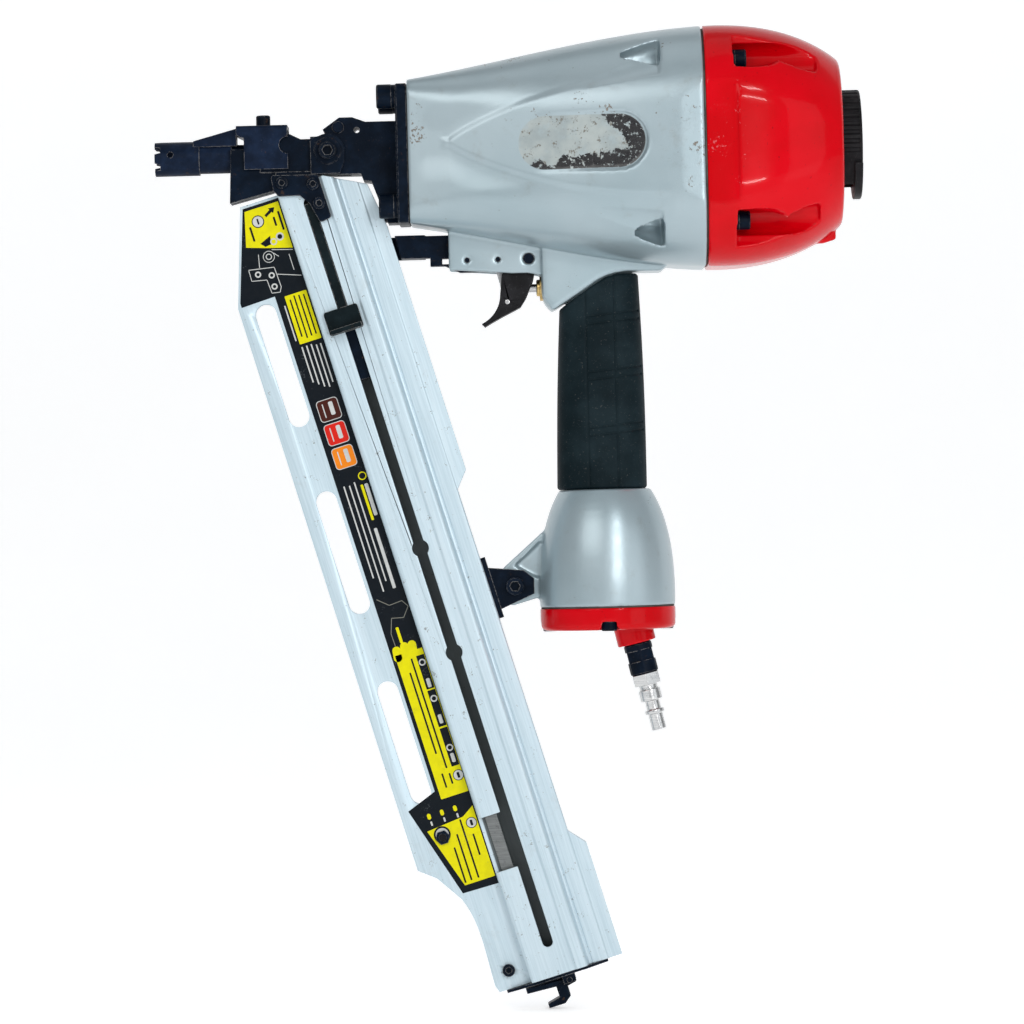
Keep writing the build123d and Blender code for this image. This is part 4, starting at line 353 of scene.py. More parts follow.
def extrusion():
    """Satin anodised aluminium, a little blue: streaks along the magazine, dings, and the shaded slot."""
    g = Graph("extrusion")
    streak = g.noise(1.0, 5, 0.65, g.stretched((1400, 1400, 26), MAG_LEAN))
    wide = g.noise(1.0, 3, 0.5, g.stretched((120, 120, 5), MAG_LEAN))
    color = g.mix(g.between(streak, 0.3, 0.7), (0.465, 0.585, 0.65), (0.56, 0.675, 0.74))
    color = g.mix(g.times(g.between(wide, 0.4, 0.65), 0.25), color, (0.63, 0.725, 0.78))
    ding = g.between(g.times(g.noise(210, 3, 0.5), g.noise(1100, 5, 0.65)), 0.375, 0.41)
    smudge = g.times(g.between(g.noise(46, 8, 0.72), 0.57, 0.70), 0.16)
    color = g.mix(smudge, color, (0.33, 0.33, 0.31))
    color = g.mix(g.times(ding, 0.7), color, (0.15, 0.145, 0.13))
    edge = g.worn_edges(0.0005, 0.05, 0.25, g.between(g.noise(400, 4), 0.4, 0.6))
    color = g.mix(g.times(edge, 0.35), color, (0.78, 0.80, 0.80))
    across = g.plus(g.times(g.minus(g.axis("X"), MAG_CORNER.x), ACROSS.x),
                    g.times(g.minus(g.axis("Z"), MAG_CORNER.z), ACROSS.z))
    # painted shade inside the pusher's slot, from the near wall's inner face to past the middle
    painted_slot_shade = g.times(g.between(across, 0.0412, 0.0420), g.between(across, 0.0620, 0.0640, 1.0, 0.0))
    painted_slot_shade = g.times(painted_slot_shade, g.between(g.axis("Y"), -0.0104, -0.0098))
    painted_slot_shade = g.times(painted_slot_shade, g.between(g.axis("Y"), 0.0050, 0.0056, 1.0, 0.0))
    # painted shade: the slot's inside is darkened to near black
    color = g.mix(g.times(painted_slot_shade, 0.9), color, (0.035, 0.04, 0.038))
    rough = g.plus(g.times(streak, 0.16), 0.30)
    rough = g.plus(rough, g.times(g.any_of(ding, smudge), 0.25))
    height = g.minus(g.times(streak, 0.5), g.times(ding, 1.2))
    return g.finish(color, rough, 0.30, g.bump(height, 0.16, 0.0002), specular=0.35)


def machined(name, color_a, color_b, rough_at=0.28, metallic=1.0):
    """Turned or ground metal with fine rings and light soiling."""
    g = Graph(name)
    line = g.noise(1.0, 4, 0.6, g.stretched((60, 60, 3200), 0.0))
    color = g.mix(g.between(line, 0.3, 0.7), color_a, color_b)
    soil = g.times(g.between(g.noise(330, 7, 0.7), 0.54, 0.68), 0.5)
    color = g.mix(soil, color, tuple(c * 0.35 for c in color_a))
    edge = g.worn_edges(0.0003, 0.03, 0.2)
    color = g.mix(g.times(edge, 0.3), color, tuple(min(1.0, c * 1.5) for c in color_b))
    rough = g.plus(g.times(g.noise(420, 5), 0.22), rough_at - 0.08)
    return g.finish(color, rough, metallic, g.bump(line, 0.14, 0.0001))


def moulded(name, color_a, color_b, rough_at, grain=2600, wear=0.4):
    """Moulded plastic or rubber: fine spark-eroded grain, dust and slightly polished edges."""
    g = Graph(name)
    color = g.mix(g.between(g.noise(90, 4), 0.35, 0.7), color_a, color_b)
    dust = g.times(g.between(g.noise(800, 6, 0.7), 0.58, 0.68), 0.22)
    color = g.mix(dust, color, tuple(min(1.0, c + 0.12) for c in color_b))
    edge = g.times(g.worn_edges(0.0005, 0.04, 0.2, g.between(g.noise(420, 4), 0.35, 0.6)), wear)
    color = g.mix(edge, color, tuple(min(1.0, c * 1.6 + 0.05) for c in color_b))
    rough = g.plus(g.times(g.noise(240, 4), 0.20), rough_at - 0.1)
    return g.finish(color, rough, 0.0, g.bump(g.noise(grain, 3, 0.6), 0.18, 0.00015), specular=0.09)


def print_film(name, color, wear_to=(0.5, 0.5, 0.48)):
    """One printed colour on the label: slight mottle, hair scratches and rubbed spots."""
    g = Graph(name)
    mottle = g.noise(260, 5, 0.6)
    darker = tuple(min(1.0, c * 0.72 + 0.004) for c in color)
    tone = g.mix(g.times(g.between(mottle, 0.35, 0.7), 0.35), color, darker)
    rub = g.between(g.times(g.noise(120, 4, 0.6), g.noise(1000, 5, 0.7)), 0.36, 0.39)
    tone = g.mix(g.times(rub, 0.45), tone, wear_to)
    rough = g.plus(g.times(mottle, 0.16), 0.24)
    return g.finish(tone, rough, 0.0, g.bump(g.noise(900, 3), 0.12, 0.0001), specular=0.15)


MATERIALS = {
    "silver_paint": silver_paint(),
    "red_paint": red_paint(),
    "grip_rubber": grip_rubber(),
    "black_steel": black_steel(),
    "contact_steel": black_steel("contact_steel", (0.004, 0.009, 0.022), 1.0, 0.32),
    "tab_steel": black_steel("tab_steel", (0.003, 0.007, 0.009), 1.0, 0.36),
    "rail_steel": machined("rail_steel", (0.14, 0.15, 0.15), (0.24, 0.25, 0.25), 0.36),
    "extrusion": extrusion(),
    "cast_aluminium": machined("cast_aluminium", (0.46, 0.47, 0.48), (0.58, 0.59, 0.60), 0.35),
    "bright_steel": machined("bright_steel", (0.42, 0.43, 0.44), (0.58, 0.58, 0.58), 0.28),
    "spring_steel": machined("spring_steel", (0.30, 0.30, 0.31), (0.46, 0.46, 0.46), 0.32),
    "plug_steel": machined("plug_steel", (0.50, 0.51, 0.52), (0.70, 0.70, 0.69), 0.20),
    "brass": machined("brass", (0.48, 0.33, 0.12), (0.66, 0.48, 0.20), 0.30),
    "black_plastic": moulded("black_plastic", (0.006, 0.006, 0.007), (0.014, 0.014, 0.016), 0.42),
    "white_plastic": moulded("white_plastic", (0.55, 0.54, 0.50), (0.66, 0.65, 0.60), 0.45),
    "seal_rubber": moulded("seal_rubber", (0.010, 0.010, 0.010), (0.020, 0.020, 0.020), 0.5),
    "bumper_rubber": moulded("bumper_rubber", (0.045, 0.028, 0.018), (0.07, 0.045, 0.03), 0.55),
    "gasket_paper": moulded("gasket_paper", (0.05, 0.045, 0.04), (0.09, 0.085, 0.075), 0.75, 1600),
    "label_film": print_film("label_film", (0.001, 0.004, 0.008), (0.10, 0.11, 0.12)),
    "print_yellow": print_film("print_yellow", (0.72, 0.66, 0.0), (0.42, 0.40, 0.02)),
    "print_white": print_film("print_white", (0.55, 0.56, 0.55)),
    "print_red": print_film("print_red", (0.62, 0.015, 0.008), (0.7, 0.2, 0.15)),
    "print_brown": print_film("print_brown", (0.055, 0.010, 0.006), (0.2, 0.1, 0.08)),
    "print_orange": print_film("print_orange", (0.80, 0.22, 0.01)),
    "print_brown_grey": print_film("print_brown_grey", (0.20, 0.20, 0.17)),
}

# nodes whose look isn't the one that their record slot names
SPECIAL = {"work_contact": "contact_steel", "pusher_tab": "tab_steel", "steel_rails": "rail_steel"}


def give(piece, material):
    """The piece shows this material everywhere."""
    slots = piece.material_slots
    if not len(slots):
        piece.data.materials.append(MATERIALS[material])
    for entry in slots:
        entry.link = "OBJECT"
        entry.material = MATERIALS[material]


def smooth(mesh):
    for face in mesh.polygons:
        face.use_smooth = True


def rounded(piece, width):
    """Welds a CAD node's mesh, rolls its sharp edges over and evens its shading."""
    weld = piece.modifiers.new("weld", "WELD")
    weld.merge_threshold = 0.00001
    if width:
        bevel = piece.modifiers.new("bevel", "BEVEL")
        bevel.width = width
        bevel.segments = 2
        bevel.limit_method = "ANGLE"
        bevel.angle_limit = math.radians(30)
        bevel.use_clamp_overlap = True
        bevel.harden_normals = False
    even = piece.modifiers.new("even", "WEIGHTED_NORMAL")
    even.keep_sharp = True
    smooth(piece.data)


slot_of = {entry["node"]: entry["material_slot"] for entry in frame["record"]["subparts"]}
for node, piece in NODES.items():
    give(piece, SPECIAL.get(node, slot_of[node]))


def link(name, data):
    piece = bpy.data.objects.new(name, data)
    bpy.context.scene.collection.objects.link(piece)
    return piece


def copy_of(node, name):
    """A new object with its own copy of a node's mesh, in the same place."""
    source = NODES[node]
    piece = link(name, source.data.copy())
    piece.matrix_world = source.matrix_world
    return piece


def stand_in(piece, node, material):
    """The piece is seen in place of a node of the frame body."""
    give(piece, material)
    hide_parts(node)
    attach(piece, "frame")


# ---------------------------------------------------------------- castings
# the crease on each side of the barrel, in millimetres: apex, rear end, axis height, and heights at the rear
OGIVE_APEX, OGIVE_END, OGIVE_AXIS = 22, 137, 3
OGIVE_TOP, OGIVE_BOTTOM = 34.5, -28
CREASE_DROP = 0.8
# the troughs beside the bolt lugs, in millimetres: where they start, their length and their full depth
TROUGH_START, TROUGH_LENGTH, TROUGH_DEPTH = 84, 51, 2.4
# sections of a cap pocket: place behind the bolt heads' rear face, distance out, and radius
POCKET_SECTIONS = ((-0.0072, 0.0540, 0.0074), (0.0025, 0.0540, 0.0074), (0.012, 0.0560, 0.0062),
                   (0.024, 0.0590, 0.0040), (0.034, 0.0620, 0.0012))
POCKET_HEIGHT, POCKET_STRETCH = 0.0442, 1.5


def step_up(value, low, high):
    """Smooth 0 to 1 ramp of an array between two limits."""
    t = np.clip((value - low) / (high - low), 0, 1)
    return t * t * (3 - 2 * t)


def barrel_relief(points):
    """Moves the barrel's skin inwards: outside the crease on each side, and along the bolt lugs' troughs."""
    x, y, z = (points / MM).T
    run = np.clip((x - OGIVE_APEX) / (OGIVE_END - OGIVE_APEX), 0, 1)
    swell = np.sin(run * math.pi / 2) ** 0.8
    upper = OGIVE_AXIS + (OGIVE_TOP - OGIVE_AXIS) * swell
    lower = OGIVE_AXIS + (OGIVE_BOTTOM - OGIVE_AXIS) * swell
    outside = np.maximum(z - upper, lower - z)
    outside = np.maximum(outside, (OGIVE_APEX - x) * 0.6)
    on_barrel = step_up(x, 2, 12) * (1 - step_up(x, 132, 142)) * step_up(z, -52, -46)
    on_side = on_barrel * step_up(np.abs(y), 18, 26)
    drop = CREASE_DROP * step_up(outside, -1.2, 3.4) * (1 - step_up(outside, 6, 22)) * on_side
    along = np.clip((x - TROUGH_START) / TROUGH_LENGTH, 0, 1)
    open_length = (1 - step_up(x, 134.2, 135.4)) * step_up(x, TROUGH_START, TROUGH_START + 16)
    for sign in (1, -1):
        line = sign * (31 + 12 * along) - 1.0
        width = 3.0 + 4.5 * along
        off = np.abs(z - line) / width
        trough = np.clip(1 - off ** 2, 0, 1) * TROUGH_DEPTH * along * open_length
        drop = np.maximum(drop, trough * step_up(np.abs(y), 24, 32))
    reach = np.maximum(np.hypot(y, z), 1.0)
    moved = points.copy()
    moved[:, 1] -= drop * MM * y / reach
    moved[:, 2] -= drop * MM * z / reach
    return moved


def pocket_cutters():
    """Tapered pockets that open the cap's flanks beside its four bolt heads."""
    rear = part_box("cap_bolts")[1][0]
    verts, faces = [], []
    count, rows = 28, len(POCKET_SECTIONS) - 1
    for side in (-1, 1):
        for up in (-1, 1):
            start = len(verts)
            for x, out, radius in POCKET_SECTIONS:
                for k in range(count):
                    angle = 2 * math.pi * k / count
                    y = out + POCKET_STRETCH * radius * math.cos(angle)
                    z = POCKET_HEIGHT + radius * math.sin(angle)
                    verts.append((rear + x, side * y, up * z))
            for row in range(rows):
                for k in range(count):
                    nxt = (k + 1) % count
                    quad = (start + row * count + k, start + row * count + nxt,
                            start + (row + 1) * count + nxt, start + (row + 1) * count + k)
                    faces.append(quad if side * up > 0 else quad[::-1])
            first = tuple(range(start, start + count))
            last = tuple(range(start + rows * count, start + (rows + 1) * count))
            faces.append(first[::-1] if side * up > 0 else first)
            faces.append(last if side * up > 0 else last[::-1])
    mesh = bpy.data.meshes.new("pocket_cutters")
    mesh.from_pydata(verts, [], faces)
    return bpy.data.objects.new("pocket_cutters", mesh)


def casting(node, voxel, rounds, material, relief=None, cutter=None):
    """A CAD node's shape with every edge rolled over as a casting's is: fine remesh, then smoothing."""
    piece = copy_of(node, f"{node}_casting")
    remesh = piece.modifiers.new("remesh", "REMESH")
    remesh.mode = "VOXEL"
    remesh.voxel_size = voxel
    if cutter:
        bpy.context.scene.collection.objects.link(cutter)
        carve = piece.modifiers.new("carve", "BOOLEAN")
        carve.object = cutter
        carve.solver = "FAST"
    relax = piece.modifiers.new("relax", "SMOOTH")
    relax.factor = 0.5
    relax.iterations = rounds
    shape = bpy.data.meshes.new_from_object(piece.evaluated_get(bpy.context.evaluated_depsgraph_get()))
    piece.modifiers.clear()
    piece.data = shape
    if cutter:
        bpy.data.objects.remove(cutter)
    shape.materials.clear()
    if relief:
        flat = np.empty(len(shape.vertices) * 3)
        shape.vertices.foreach_get("co", flat)
        shape.vertices.foreach_set("co", relief(flat.reshape(-1, 3)).ravel())
        shape.update()
    smooth(shape)
    stand_in(piece, node, material)


casting("housing", voxel=0.0009, rounds=5, material="silver_paint", relief=barrel_relief)
casting("cylinder_cap", voxel=0.0008, rounds=5, material="red_paint", cutter=pocket_cutters())
casting("end_cap", voxel=0.0005, rounds=4, material="red_paint")


# ---------------------------------------------------------------- grip
# the rubber's upper edge from front to back, as (x, z)
GRIP_EDGE = ((0.070, -0.0905), (0.0755, -0.0876), (0.0955, -0.0748), (0.104, -0.0702), (0.112, -0.0683),
             (0.125, -0.0682))
GRIP_SQUARENESS = 2.6
UPRIGHT_GROOVES = (0.0925, 0.1085)
CROSS_GROOVES = (-0.0925, -0.1225, -0.1525)
GROOVE_WIDTH, GROOVE_DEPTH, GROOVE_PAIR = 0.0006, 0.0007, 0.0021
EDGE_ROLL, EDGE_DEPTH = 0.0015, 0.0009


def grip_outline(angle, height):
    """Point of the grip's outer surface before its grooves: a squarish oval that swells downwards."""
    t = (grip_high[2] - height) / (grip_high[2] - grip_low[2])
    half_x = (0.0208 + 0.0034 * t) + 0.0008 * math.sin(math.pi * t)
    half_y = 0.0177 + 0.0012 * t
    centre_x = 0.1009 - 0.0014 * t
    power = 2 / GRIP_SQUARENESS
    c, s = math.cos(angle), math.sin(angle)
    x = centre_x + half_x * math.copysign(abs(c) ** power, c)
    y = half_y * math.copysign(abs(s) ** power, s)
    return x, y


def grip_top(x):
    """The rubber's upper edge sweeps up under the barrel, and flares at the back."""
    return float(np.interp(x, [p[0] for p in GRIP_EDGE], [p[1] for p in GRIP_EDGE]))


def groove(distance):
    """Depth profile of a moulded groove, 1 in the middle and 0 outside."""
    return max(0.0, 1.0 - (distance / GROOVE_WIDTH) ** 2)


def groove_depth(x, height):
    """How deep the side's grooves are at a place, from 0 to 1."""
    depth = max(groove(x - upright) for upright in UPRIGHT_GROOVES)
    if x > UPRIGHT_GROOVES[0]:
        tilt = (x - 0.1) * 0.10
        for level in CROSS_GROOVES:
            for offset in (-GROOVE_PAIR, GROOVE_PAIR):
                depth = max(depth, groove(height - level - offset - tilt))
    return depth


def grip_sleeve():
    """Rubber sleeve with two upright grooves on each side and pairs of cross grooves."""
    around, along = 300, 260
    bottom = grip_low[2]
    angles = [2 * math.pi * step / around for step in range(around)]
    tops = [grip_top(grip_outline(angle, -0.10)[0]) for angle in angles]
    verts = []
    for row in range(along + 1):
        for angle, top in zip(angles, tops):
            height = top + (bottom - top) * row / along
            x, y = grip_outline(angle, height)
            on_side = abs(math.sin(angle)) > 0.35
            depth = groove_depth(x, height) if on_side else 0.0
            edge = min(height - bottom, top - height)
            inset = GROOVE_DEPTH * depth + EDGE_DEPTH * max(0.0, 1 - edge / EDGE_ROLL) ** 2
            scale = 1 - inset / 0.019
            verts.append((0.1 + (x - 0.1) * scale, y * scale, height))
    # the sleeve's two ends turn in to a smaller ring, which the handle hides
    for row_z in (0, 1):
        for step in range(around):
            base = verts[step if row_z else along * around + step]
            verts.append((0.1005 + (base[0] - 0.1005) * 0.84, base[1] * 0.82, base[2]))
    faces = []
    for row in range(along):
        for step in range(around):
            nxt = (step + 1) % around
            upper, lower = row * around, (row + 1) * around
            faces.append((upper + nxt, upper + step, lower + step, lower + nxt))
    low_ring, high_ring = (along + 1) * around, (along + 2) * around
    for step in range(around):
        nxt = (step + 1) % around
        faces.append((along * around + nxt, along * around + step, low_ring + step, low_ring + nxt))
        faces.append((step, nxt, high_ring + nxt, high_ring + step))
    mesh = bpy.data.meshes.new("grip_rubber_sleeve")
    mesh.from_pydata(verts, [], faces)
    mesh.validate()
    smooth(mesh)
    stand_in(link("grip_rubber_sleeve", mesh), "grip_sleeve", "grip_rubber")


grip_sleeve()

# ---------------------------------------------------------------- mechanical pieces keep their CAD shape
# widths of their rolled edges; every other piece has the small one
SMALL_EDGE = 0.0002
EDGES = {"trigger": 0.0009, "nose_body": 0.0007, "work_contact": 0.0006, "feed_cheeks": 0.0006,
         "tail_latch": 0.0006, "pusher_tab": 0.0005, "support_bracket": 0.0005, "contact_arm": 0.0005,
         "magazine_channel": 0.0004, "corner_bracket": 0.0004, "pivot_plate": 0.0004, "tail_plate": 0.0003,
         "exhaust_deflector": 0.0003, "nose_bolts": 0.0003, "window_plates": 0}
REPLACED = ("housing", "cylinder_cap", "end_cap", "grip_sleeve")
for node, piece in NODES.items():
    if node not in REPLACED:
        rounded(piece, EDGES.get(node, SMALL_EDGE))


# ---------------------------------------------------------------- springs that are pressed in
def coil(node):
    """A spring in spring steel, shown by its own copy of the CAD node's mesh; in the tool its rear end stays
    put while its front end is pressed rearwards.
    """
    piece = copy_of(node, f"{node}_coil")
    smooth(piece.data)
    stand_in(piece, node, "spring_steel")
    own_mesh(piece)


coil("contact_spring")
coil("head_valve_spring")
coil("valve_spring")


# ---------------------------------------------------------------- label print
# how far out the label's film is, and how much each layer of print is lifted above it, all in millimetres
LABEL_N = 4.94
PANEL, SHAPE, LINE, MARK, SIGN = 0.0, 0.05, 0.06, 0.1, 0.12
RING_STEP = 0.04


def flat_patch(name, outline, material, lift):
    """A thin printed patch on the near window plate: outline in magazine millimetres, lift above the film."""
    verts = [mag_point(a, s, LABEL_N + lift) for a, s in outline]
    mesh = bpy.data.meshes.new(name)
    mesh.from_pydata(verts, [], [tuple(range(len(verts)))])
    mesh.validate()
    piece = link(name, mesh)
    thick = piece.modifiers.new("thickness", "SOLIDIFY")
    thick.thickness = 0.00004
    thick.offset = 0
    give(piece, material)
    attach(piece, "frame")
    return piece


def rounded_box(a, s, width, height, corner, turn=0.0):
    """Outline of a rounded rectangle around a place on the label."""
    points = []
    for quarter in range(4):
        sign_a = (1, -1, -1, 1)[quarter]
        sign_s = (1, 1, -1, -1)[quarter]
        for k in range(5):
            angle = math.pi / 2 * (quarter + k / 4)
            x = sign_a * (width / 2 - corner) + corner * math.cos(angle)
            y = sign_s * (height / 2 - corner) + corner * math.sin(angle)
            points.append((a + x * math.cos(turn) - y * math.sin(turn),
                           s + x * math.sin(turn) + y * math.cos(turn)))
    return points


def disc(a, s, radius, count=24):
    angles = [2 * math.pi * k / count for k in range(count)]
    return [(a + radius * math.cos(angle), s + radius * math.sin(angle)) for angle in angles]


def bar(name, a, s, length, width=0.7, material="print_white", lift=LINE):
    """A blank strip that runs down the magazine, in place of a line of print."""
    flat_patch(name, rounded_box(a, s, width, length, width * 0.3), material, lift)


def bars(name, rows, width=0.75, material="print_white"):
    """Blank strips of one width; a row is a strip's place across and down, and its length."""
    for index, (a, s, length) in enumerate(rows):
        bar(f"{name}_{index + 1}", a, s, length, width, material)


def ring(name, a, s, outer, inner, material="print_white", core="label_film", lift=LINE):
    """A disc with a smaller disc on it."""
    flat_patch(f"{name}_rim", disc(a, s, outer), material, lift)
    flat_patch(f"{name}_core", disc(a, s, inner), core, lift + RING_STEP)


def step_sign(name, a, s, outer, inner, mark_width):
    """A white disc in a black ring with a blank bar on it, in place of a step's number."""
    ring(name, a, s, outer, inner, "label_film", "print_white")
    bar(f"{name}_mark", a, s, 3.2, mark_width, "label_film", SIGN)


def stroke(name, one, two, material="print_white", width=0.4):
    """A thin straight line of the label's drawings."""
    (a, s), (b, t) = one, two
    length = math.hypot(b - a, t - s)
    across = ((t - s) / length * width / 2, (a - b) / length * width / 2)
    outline = [(a + across[0], s + across[1]), (b + across[0], t + across[1]),
               (b - across[0], t - across[1]), (a - across[0], s - across[1])]
    flat_patch(name, outline, material, SHAPE)


def strokes(name, pairs, material="print_white"):
    for index, (one, two) in enumerate(pairs):
        stroke(f"{name}_{index + 1}", one, two, material)


def print_head():
    """Yellow head panel with its step sign, arrow, lines and pins."""
    panel = [(20.3, 5.2), (15.2, 23.8), (26.4, 27.6), (39.2, 31.4), (39.2, 5.2)]
    flat_patch("label_panel_top", panel, "print_yellow", PANEL)
    step_sign("label_step_one", 25.6, 12.4, 3.4, 2.9, 0.9)
    arrow = [(30, 10.2), (33.4, 8.2), (33, 7.2), (36.4, 7.6), (34.8, 10.6), (34.2, 9.6), (30.6, 11.5)]
    flat_patch("label_arrow", arrow, "label_film", SHAPE)
    bars("label_head_line", ((37.6, 15.5, 10.5), (34.4, 15.0, 5.0), (20.6, 18.0, 8.0)), 1.1, "label_film")
    wedge = [(23.2, 24.2), (29.6, 21.6), (28.6, 26.2), (25.4, 26.6)]
    flat_patch("label_wedge", wedge, "label_film", PANEL + RING_STEP)
    ring("label_pin_a", 34.4, 23.6, 2.2, 1.3)
    ring("label_pin_b", 30.4, 25.2, 1.9, 1.2, "print_white", "print_yellow")


def print_drawing():
    """White line drawing of the nose: a pivot, a plate with three holes, and edges."""
    ring("label_pivot_outer", 25.4, 32.2, 3.2, 2.85)
    ring("label_pivot_inner", 25.4, 32.2, 1.7, 1.2, lift=LINE + 2 * RING_STEP)
    plate = ((12.8, 35.8), (26.4, 38.4), (26.8, 49.6), (25.4, 52.2), (21.0, 51.4), (20.6, 43.8), (12.6, 42.0))
    strokes("label_plate", zip(plate, plate[1:] + plate[:1]))
    for index, (a, s) in enumerate(((16.9, 39.6), (23.8, 42.2), (23.4, 48.4))):
        ring(f"label_plate_hole_{index + 1}", a, s, 1.7, 0.9)
    strokes("label_drawing_line", (((28, 29), (39, 32.4)), ((26.6, 42.4), (39, 47.0)),
                                   ((36.2, 34), (36.2, 43)), ((20.4, 29.4), (18.8, 36.4)),
                                   ((28.4, 31), (30.6, 33.6))))


def print_note():
    """Yellow note with four lines, and the white lines beside and below it."""
    flat_patch("label_note_upper", rounded_box(32.9, 68.8, 12.2, 27.2, 0.4), "print_yellow", PANEL)
    note = ((29.2, 68.2, 21), (31.8, 68.2, 24), (34.4, 68.2, 23), (37.0, 68.2, 22.5))
    bars("label_note_line", note, 0.8, "label_film")
    bars("label_text_line", ((25.4, 70, 20), (27.4, 94, 20), (30.0, 95, 22), (32.6, 96, 24),
                             (35.2, 97, 24), (37.6, 96, 22)))


def print_squares():
    """Three coloured squares with white rims and blank marks."""
    middle, first, pitch = 30.9, 120.6, 13.4
    for index, tone in enumerate(("print_brown", "print_red", "print_orange")):
        name, s = f"label_square_{index + 1}", first + pitch * index
        flat_patch(f"{name}_rim", rounded_box(middle, s, 12.0, 12.0, 2.0), "print_white", PANEL)
        flat_patch(name, rounded_box(middle, s, 11.2, 11.2, 1.7), tone, SHAPE)
        bar(f"{name}_mark", 32.6, s - 0.4, 7.4, 2.4, "print_white", MARK)
        bar(f"{name}_line", 28.2, s, 7.6, 0.6, "print_white", MARK)


def print_middle():
    """Blank titles and lines, the broken line of a drawing, and three yellow finger shapes."""
    ring("label_mark", 37.0, 160, 2.3, 1.7, "print_yellow", "label_film")
    bar("label_title_1", 37.6, 173.5, 18, 2.0)
    bar("label_title_2", 35.0, 206, 34, 1.8)
    bar("label_title_3", 35.2, 174.5, 20, 1.4, "print_yellow")
    bars("label_lower_line", ((31.8, 190, 56), (28.8, 193, 60), (25.8, 188.5, 52)))
    sketch = ((23.8, 226), (29.4, 231), (36.6, 230.6), (39, 234.4), (34.8, 239.6), (28.4, 238),
              (25.6, 246), (25.8, 253))
    strokes("label_sketch", zip(sketch, sketch[1:]), "print_brown_grey")
    bar("label_sketch_word", 29.6, 248, 9, 1.6, "print_yellow")
    for index, (a, s, length) in enumerate(((25.4, 257.5, 8.5), (30.0, 257, 9.5), (34.2, 257.5, 10))):
        finger = rounded_box(a, s, 4.6, length, 2.2, 0.12)
        flat_patch(f"label_finger_{index + 1}", finger, "print_yellow", PANEL + 0.004 * index)


def print_zone():
    """Yellow zone with three black blocks, blank lines and its step sign."""
    flat_patch("label_zone_lower", rounded_box(31.6, 298.6, 15.4, 81.2, 0.3), "print_yellow", PANEL)
    column = 36.9
    for index, (s, length, hole) in enumerate(((271, 19, -5.4), (291.5, 20.5, -5.4), (313.4, 21.4, 0.5))):
        name = f"label_block_{index + 1}"
        flat_patch(name, rounded_box(column, s, 4.4, length, 0.3), "label_film", SHAPE)
        ring(f"{name}_ring", column, s + hole, 1.9, 1.15, lift=MARK)
        bar(f"{name}_mark", column, s + 6.2, 5.0, 2.0, "print_white", MARK)
    zone = ((31.9, 293, 62), (28.9, 292, 46), (32.4, 330, 6), (28.6, 330, 8))
    bars("label_zone_line", zone, 0.95, "label_film")
    step_sign("label_step_two", 36.8, 329.4, 3.0, 2.6, 1.4)


def print_tail():
    """Yellow tail panel with dots above it, blank lines, its step sign and a picture of the knob."""
    panel = [(11.4, 353.4), (32.2, 351.6), (38.9, 347.4), (38.9, 387.2), (21.9, 387.2)]
    flat_patch("label_zone_tail", panel, "print_yellow", PANEL)
    for index, a in enumerate((14.8, 22.1, 29.5)):
        name = f"label_dot_{index + 1}"
        flat_patch(name, rounded_box(a, 346, 2.0, 3.2, 0.95), "print_yellow", SHAPE)
        bar(f"{name}_mark", a + 0.2, 350, 2.4, 1.0)
    step_sign("label_step_three", 35.6, 356, 3.0, 2.6, 1.4)
    tail = ((30.2, 369, 33), (26.2, 372.6, 26), (22.7, 376, 20), (34.6, 368, 12))
    bars("label_tail_line", tail, 0.95, "label_film")
    ring("label_knob_picture", 18.6, 357.4, 4.6, 3.6, "label_film", "print_white", 0.03)


for print_part in (print_head, print_drawing, print_note, print_squares, print_middle, print_zone,
                   print_tail):
    print_part()


# ---------------------------------------------------------------- stage, light and camera
# the floor: half its size, where its curve starts, the curve's radius, and how high its wall goes
FLOOR_HALF, CURVE_START, CURVE_RADIUS, WALL_HEIGHT = 9.0, 1.6, 1.2, 4.5
FLOOR_GLOW = 0.50
ROOM_LIGHT, ROOM_SEEN = 0.36, 1.0
CAMERA_X, CAMERA_Z, CAMERA_DISTANCE = 0.0505, -0.1950, 3.0
WIDTH_SEEN, CAMERA_ROLL = 0.553, math.radians(1.5)


def stage_material():
    g = Graph("stage_white")
    color = g.mix(g.between(g.noise(3, 3), 0.3, 0.7), (0.78, 0.785, 0.79), (0.80, 0.805, 0.81))
    g.surface.inputs["Emission Color"].default_value = (1.0, 1.0, 1.0, 1)
    g.surface.inputs["Emission Strength"].default_value = FLOOR_GLOW
    return g.finish(color, g.plus(g.times(g.noise(30, 4), 0.05), 0.72), 0.0,
                    g.bump(g.noise(400, 3), 0.02, 0.0005))


def floor():
    """A pale floor that curves up into a far wall, so that no line shows behind the tool."""
    level = cad_box[0][2] - 0.0005
    rows = [(-FLOOR_HALF, level)]
    for step in range(13):
        turn = step * math.pi / 24
        rise = CURVE_RADIUS * (1 - math.cos(turn))
        rows.append((CURVE_START + CURVE_RADIUS * math.sin(turn), level + rise))
    rows.append((CURVE_START + CURVE_RADIUS, level + WALL_HEIGHT))
    verts = []
    for y, z in rows:
        verts += [(-FLOOR_HALF, y, z), (FLOOR_HALF, y, z)]
    faces = [(2 * k, 2 * k + 1, 2 * k + 3, 2 * k + 2) for k in range(len(rows) - 1)]
    mesh = bpy.data.meshes.new("floor")
    mesh.from_pydata(verts, [], faces)
    smooth(mesh)
    piece = link("floor", mesh)
    mesh.materials.append(stage_material())


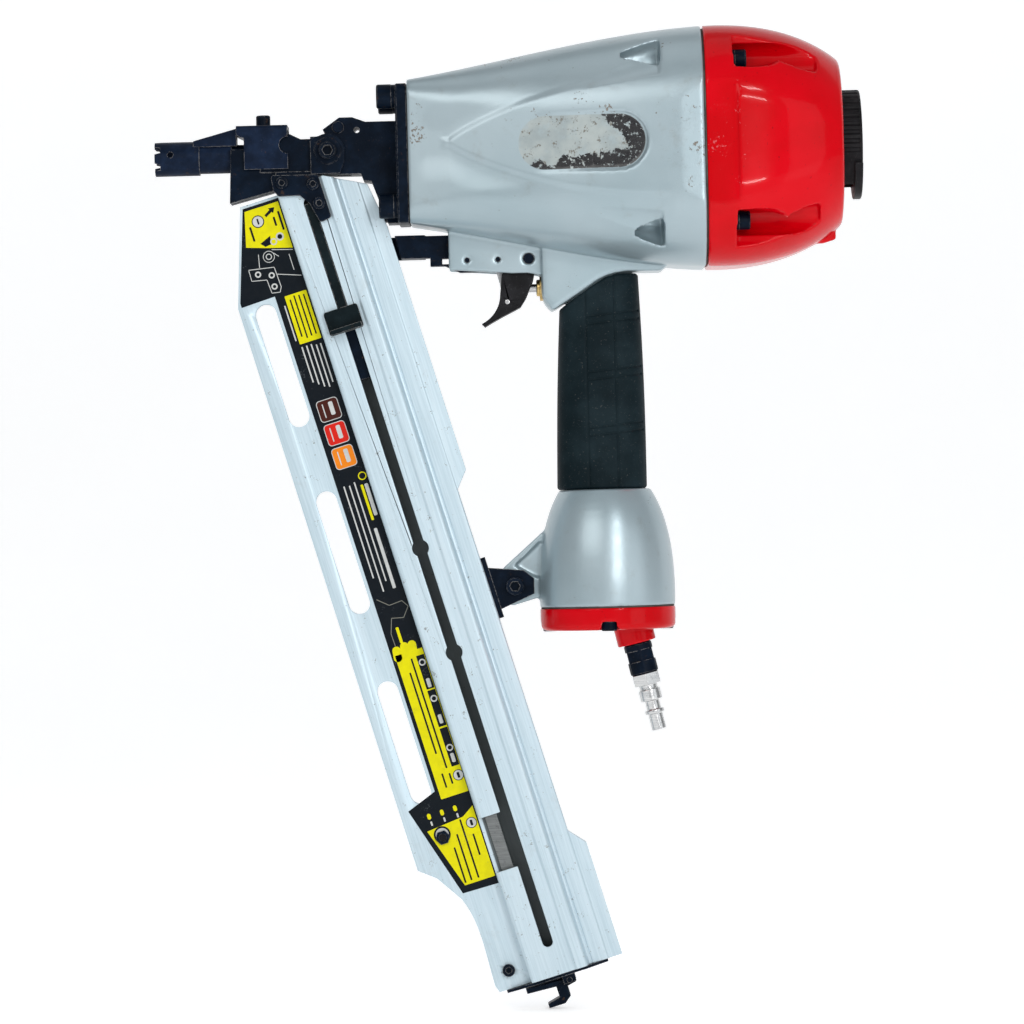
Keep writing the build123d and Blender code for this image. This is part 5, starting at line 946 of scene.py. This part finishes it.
def softbox(name, place, target, width, height, power, color=(1, 1, 1)):
    data = bpy.data.lights.new(name, "AREA")
    data.shape = "RECTANGLE"
    data.size, data.size_y = width, height
    data.energy = power
    data.color = color
    lamp = link(name, data)
    lamp.location = place
    lamp.rotation_euler = (Vector(target) - Vector(place)).to_track_quat("-Z", "Y").to_euler()


def photo_camera():
    """Camera square to the tool's mid plane, with the whole tool in view."""
    data = bpy.data.cameras.new("photo_camera")
    data.sensor_width = 36
    data.lens = CAMERA_DISTANCE / WIDTH_SEEN * data.sensor_width
    data.clip_start, data.clip_end = 0.05, 30
    camera = link("photo_camera", data)
    upright = Matrix.Rotation(math.radians(90), 4, "X")
    rolled = Matrix.Rotation(-CAMERA_ROLL, 4, "Z")
    camera.matrix_world = Matrix.Translation((CAMERA_X, -CAMERA_DISTANCE, CAMERA_Z)) @ upright @ rolled
    bpy.context.scene.camera = camera


def studio():
    world = bpy.data.worlds.new("studio")
    world.use_nodes = True
    nodes, links = world.node_tree.nodes, world.node_tree.links
    nodes["Background"].inputs["Color"].default_value = (0.95, 0.975, 1.0, 1)
    # the room behind the floor's edge looks as pale as the floor, but lights the tool less
    seen = nodes.new("ShaderNodeLightPath").outputs["Is Camera Ray"]
    level = nodes.new("ShaderNodeMapRange")
    links.new(seen, level.inputs["Value"])
    level.inputs["To Min"].default_value, level.inputs["To Max"].default_value = ROOM_LIGHT, ROOM_SEEN
    links.new(level.outputs["Result"], nodes["Background"].inputs["Strength"])
    bpy.context.scene.world = world
    aim = (0.05, 0, -0.15)
    softbox("key", (-0.8, -1.7, 0.7), aim, width=1.3, height=0.9, power=9, color=(1.0, 0.99, 0.97))
    softbox("fill", (1.7, -1.3, 0.1), aim, width=1.0, height=1.2, power=3.5, color=(0.95, 0.975, 1.0))
    softbox("top", (0.1, -0.1, 1.7), aim, width=1.6, height=1.0, power=2.5)
    # three narrow windows, one under another, for the bright lines on the red cap
    for step in range(3):
        place = (0.62 - 0.05 * step, -1.35, 0.62 - 0.34 * step)
        softbox(f"window_{step + 1}", place, (0.2, -0.05, 0.0), width=0.36, height=0.06, power=2.6)
    bpy.context.scene.view_settings.view_transform = "Standard"
    bpy.context.scene.view_settings.look = "None"


floor()
studio()
photo_camera()
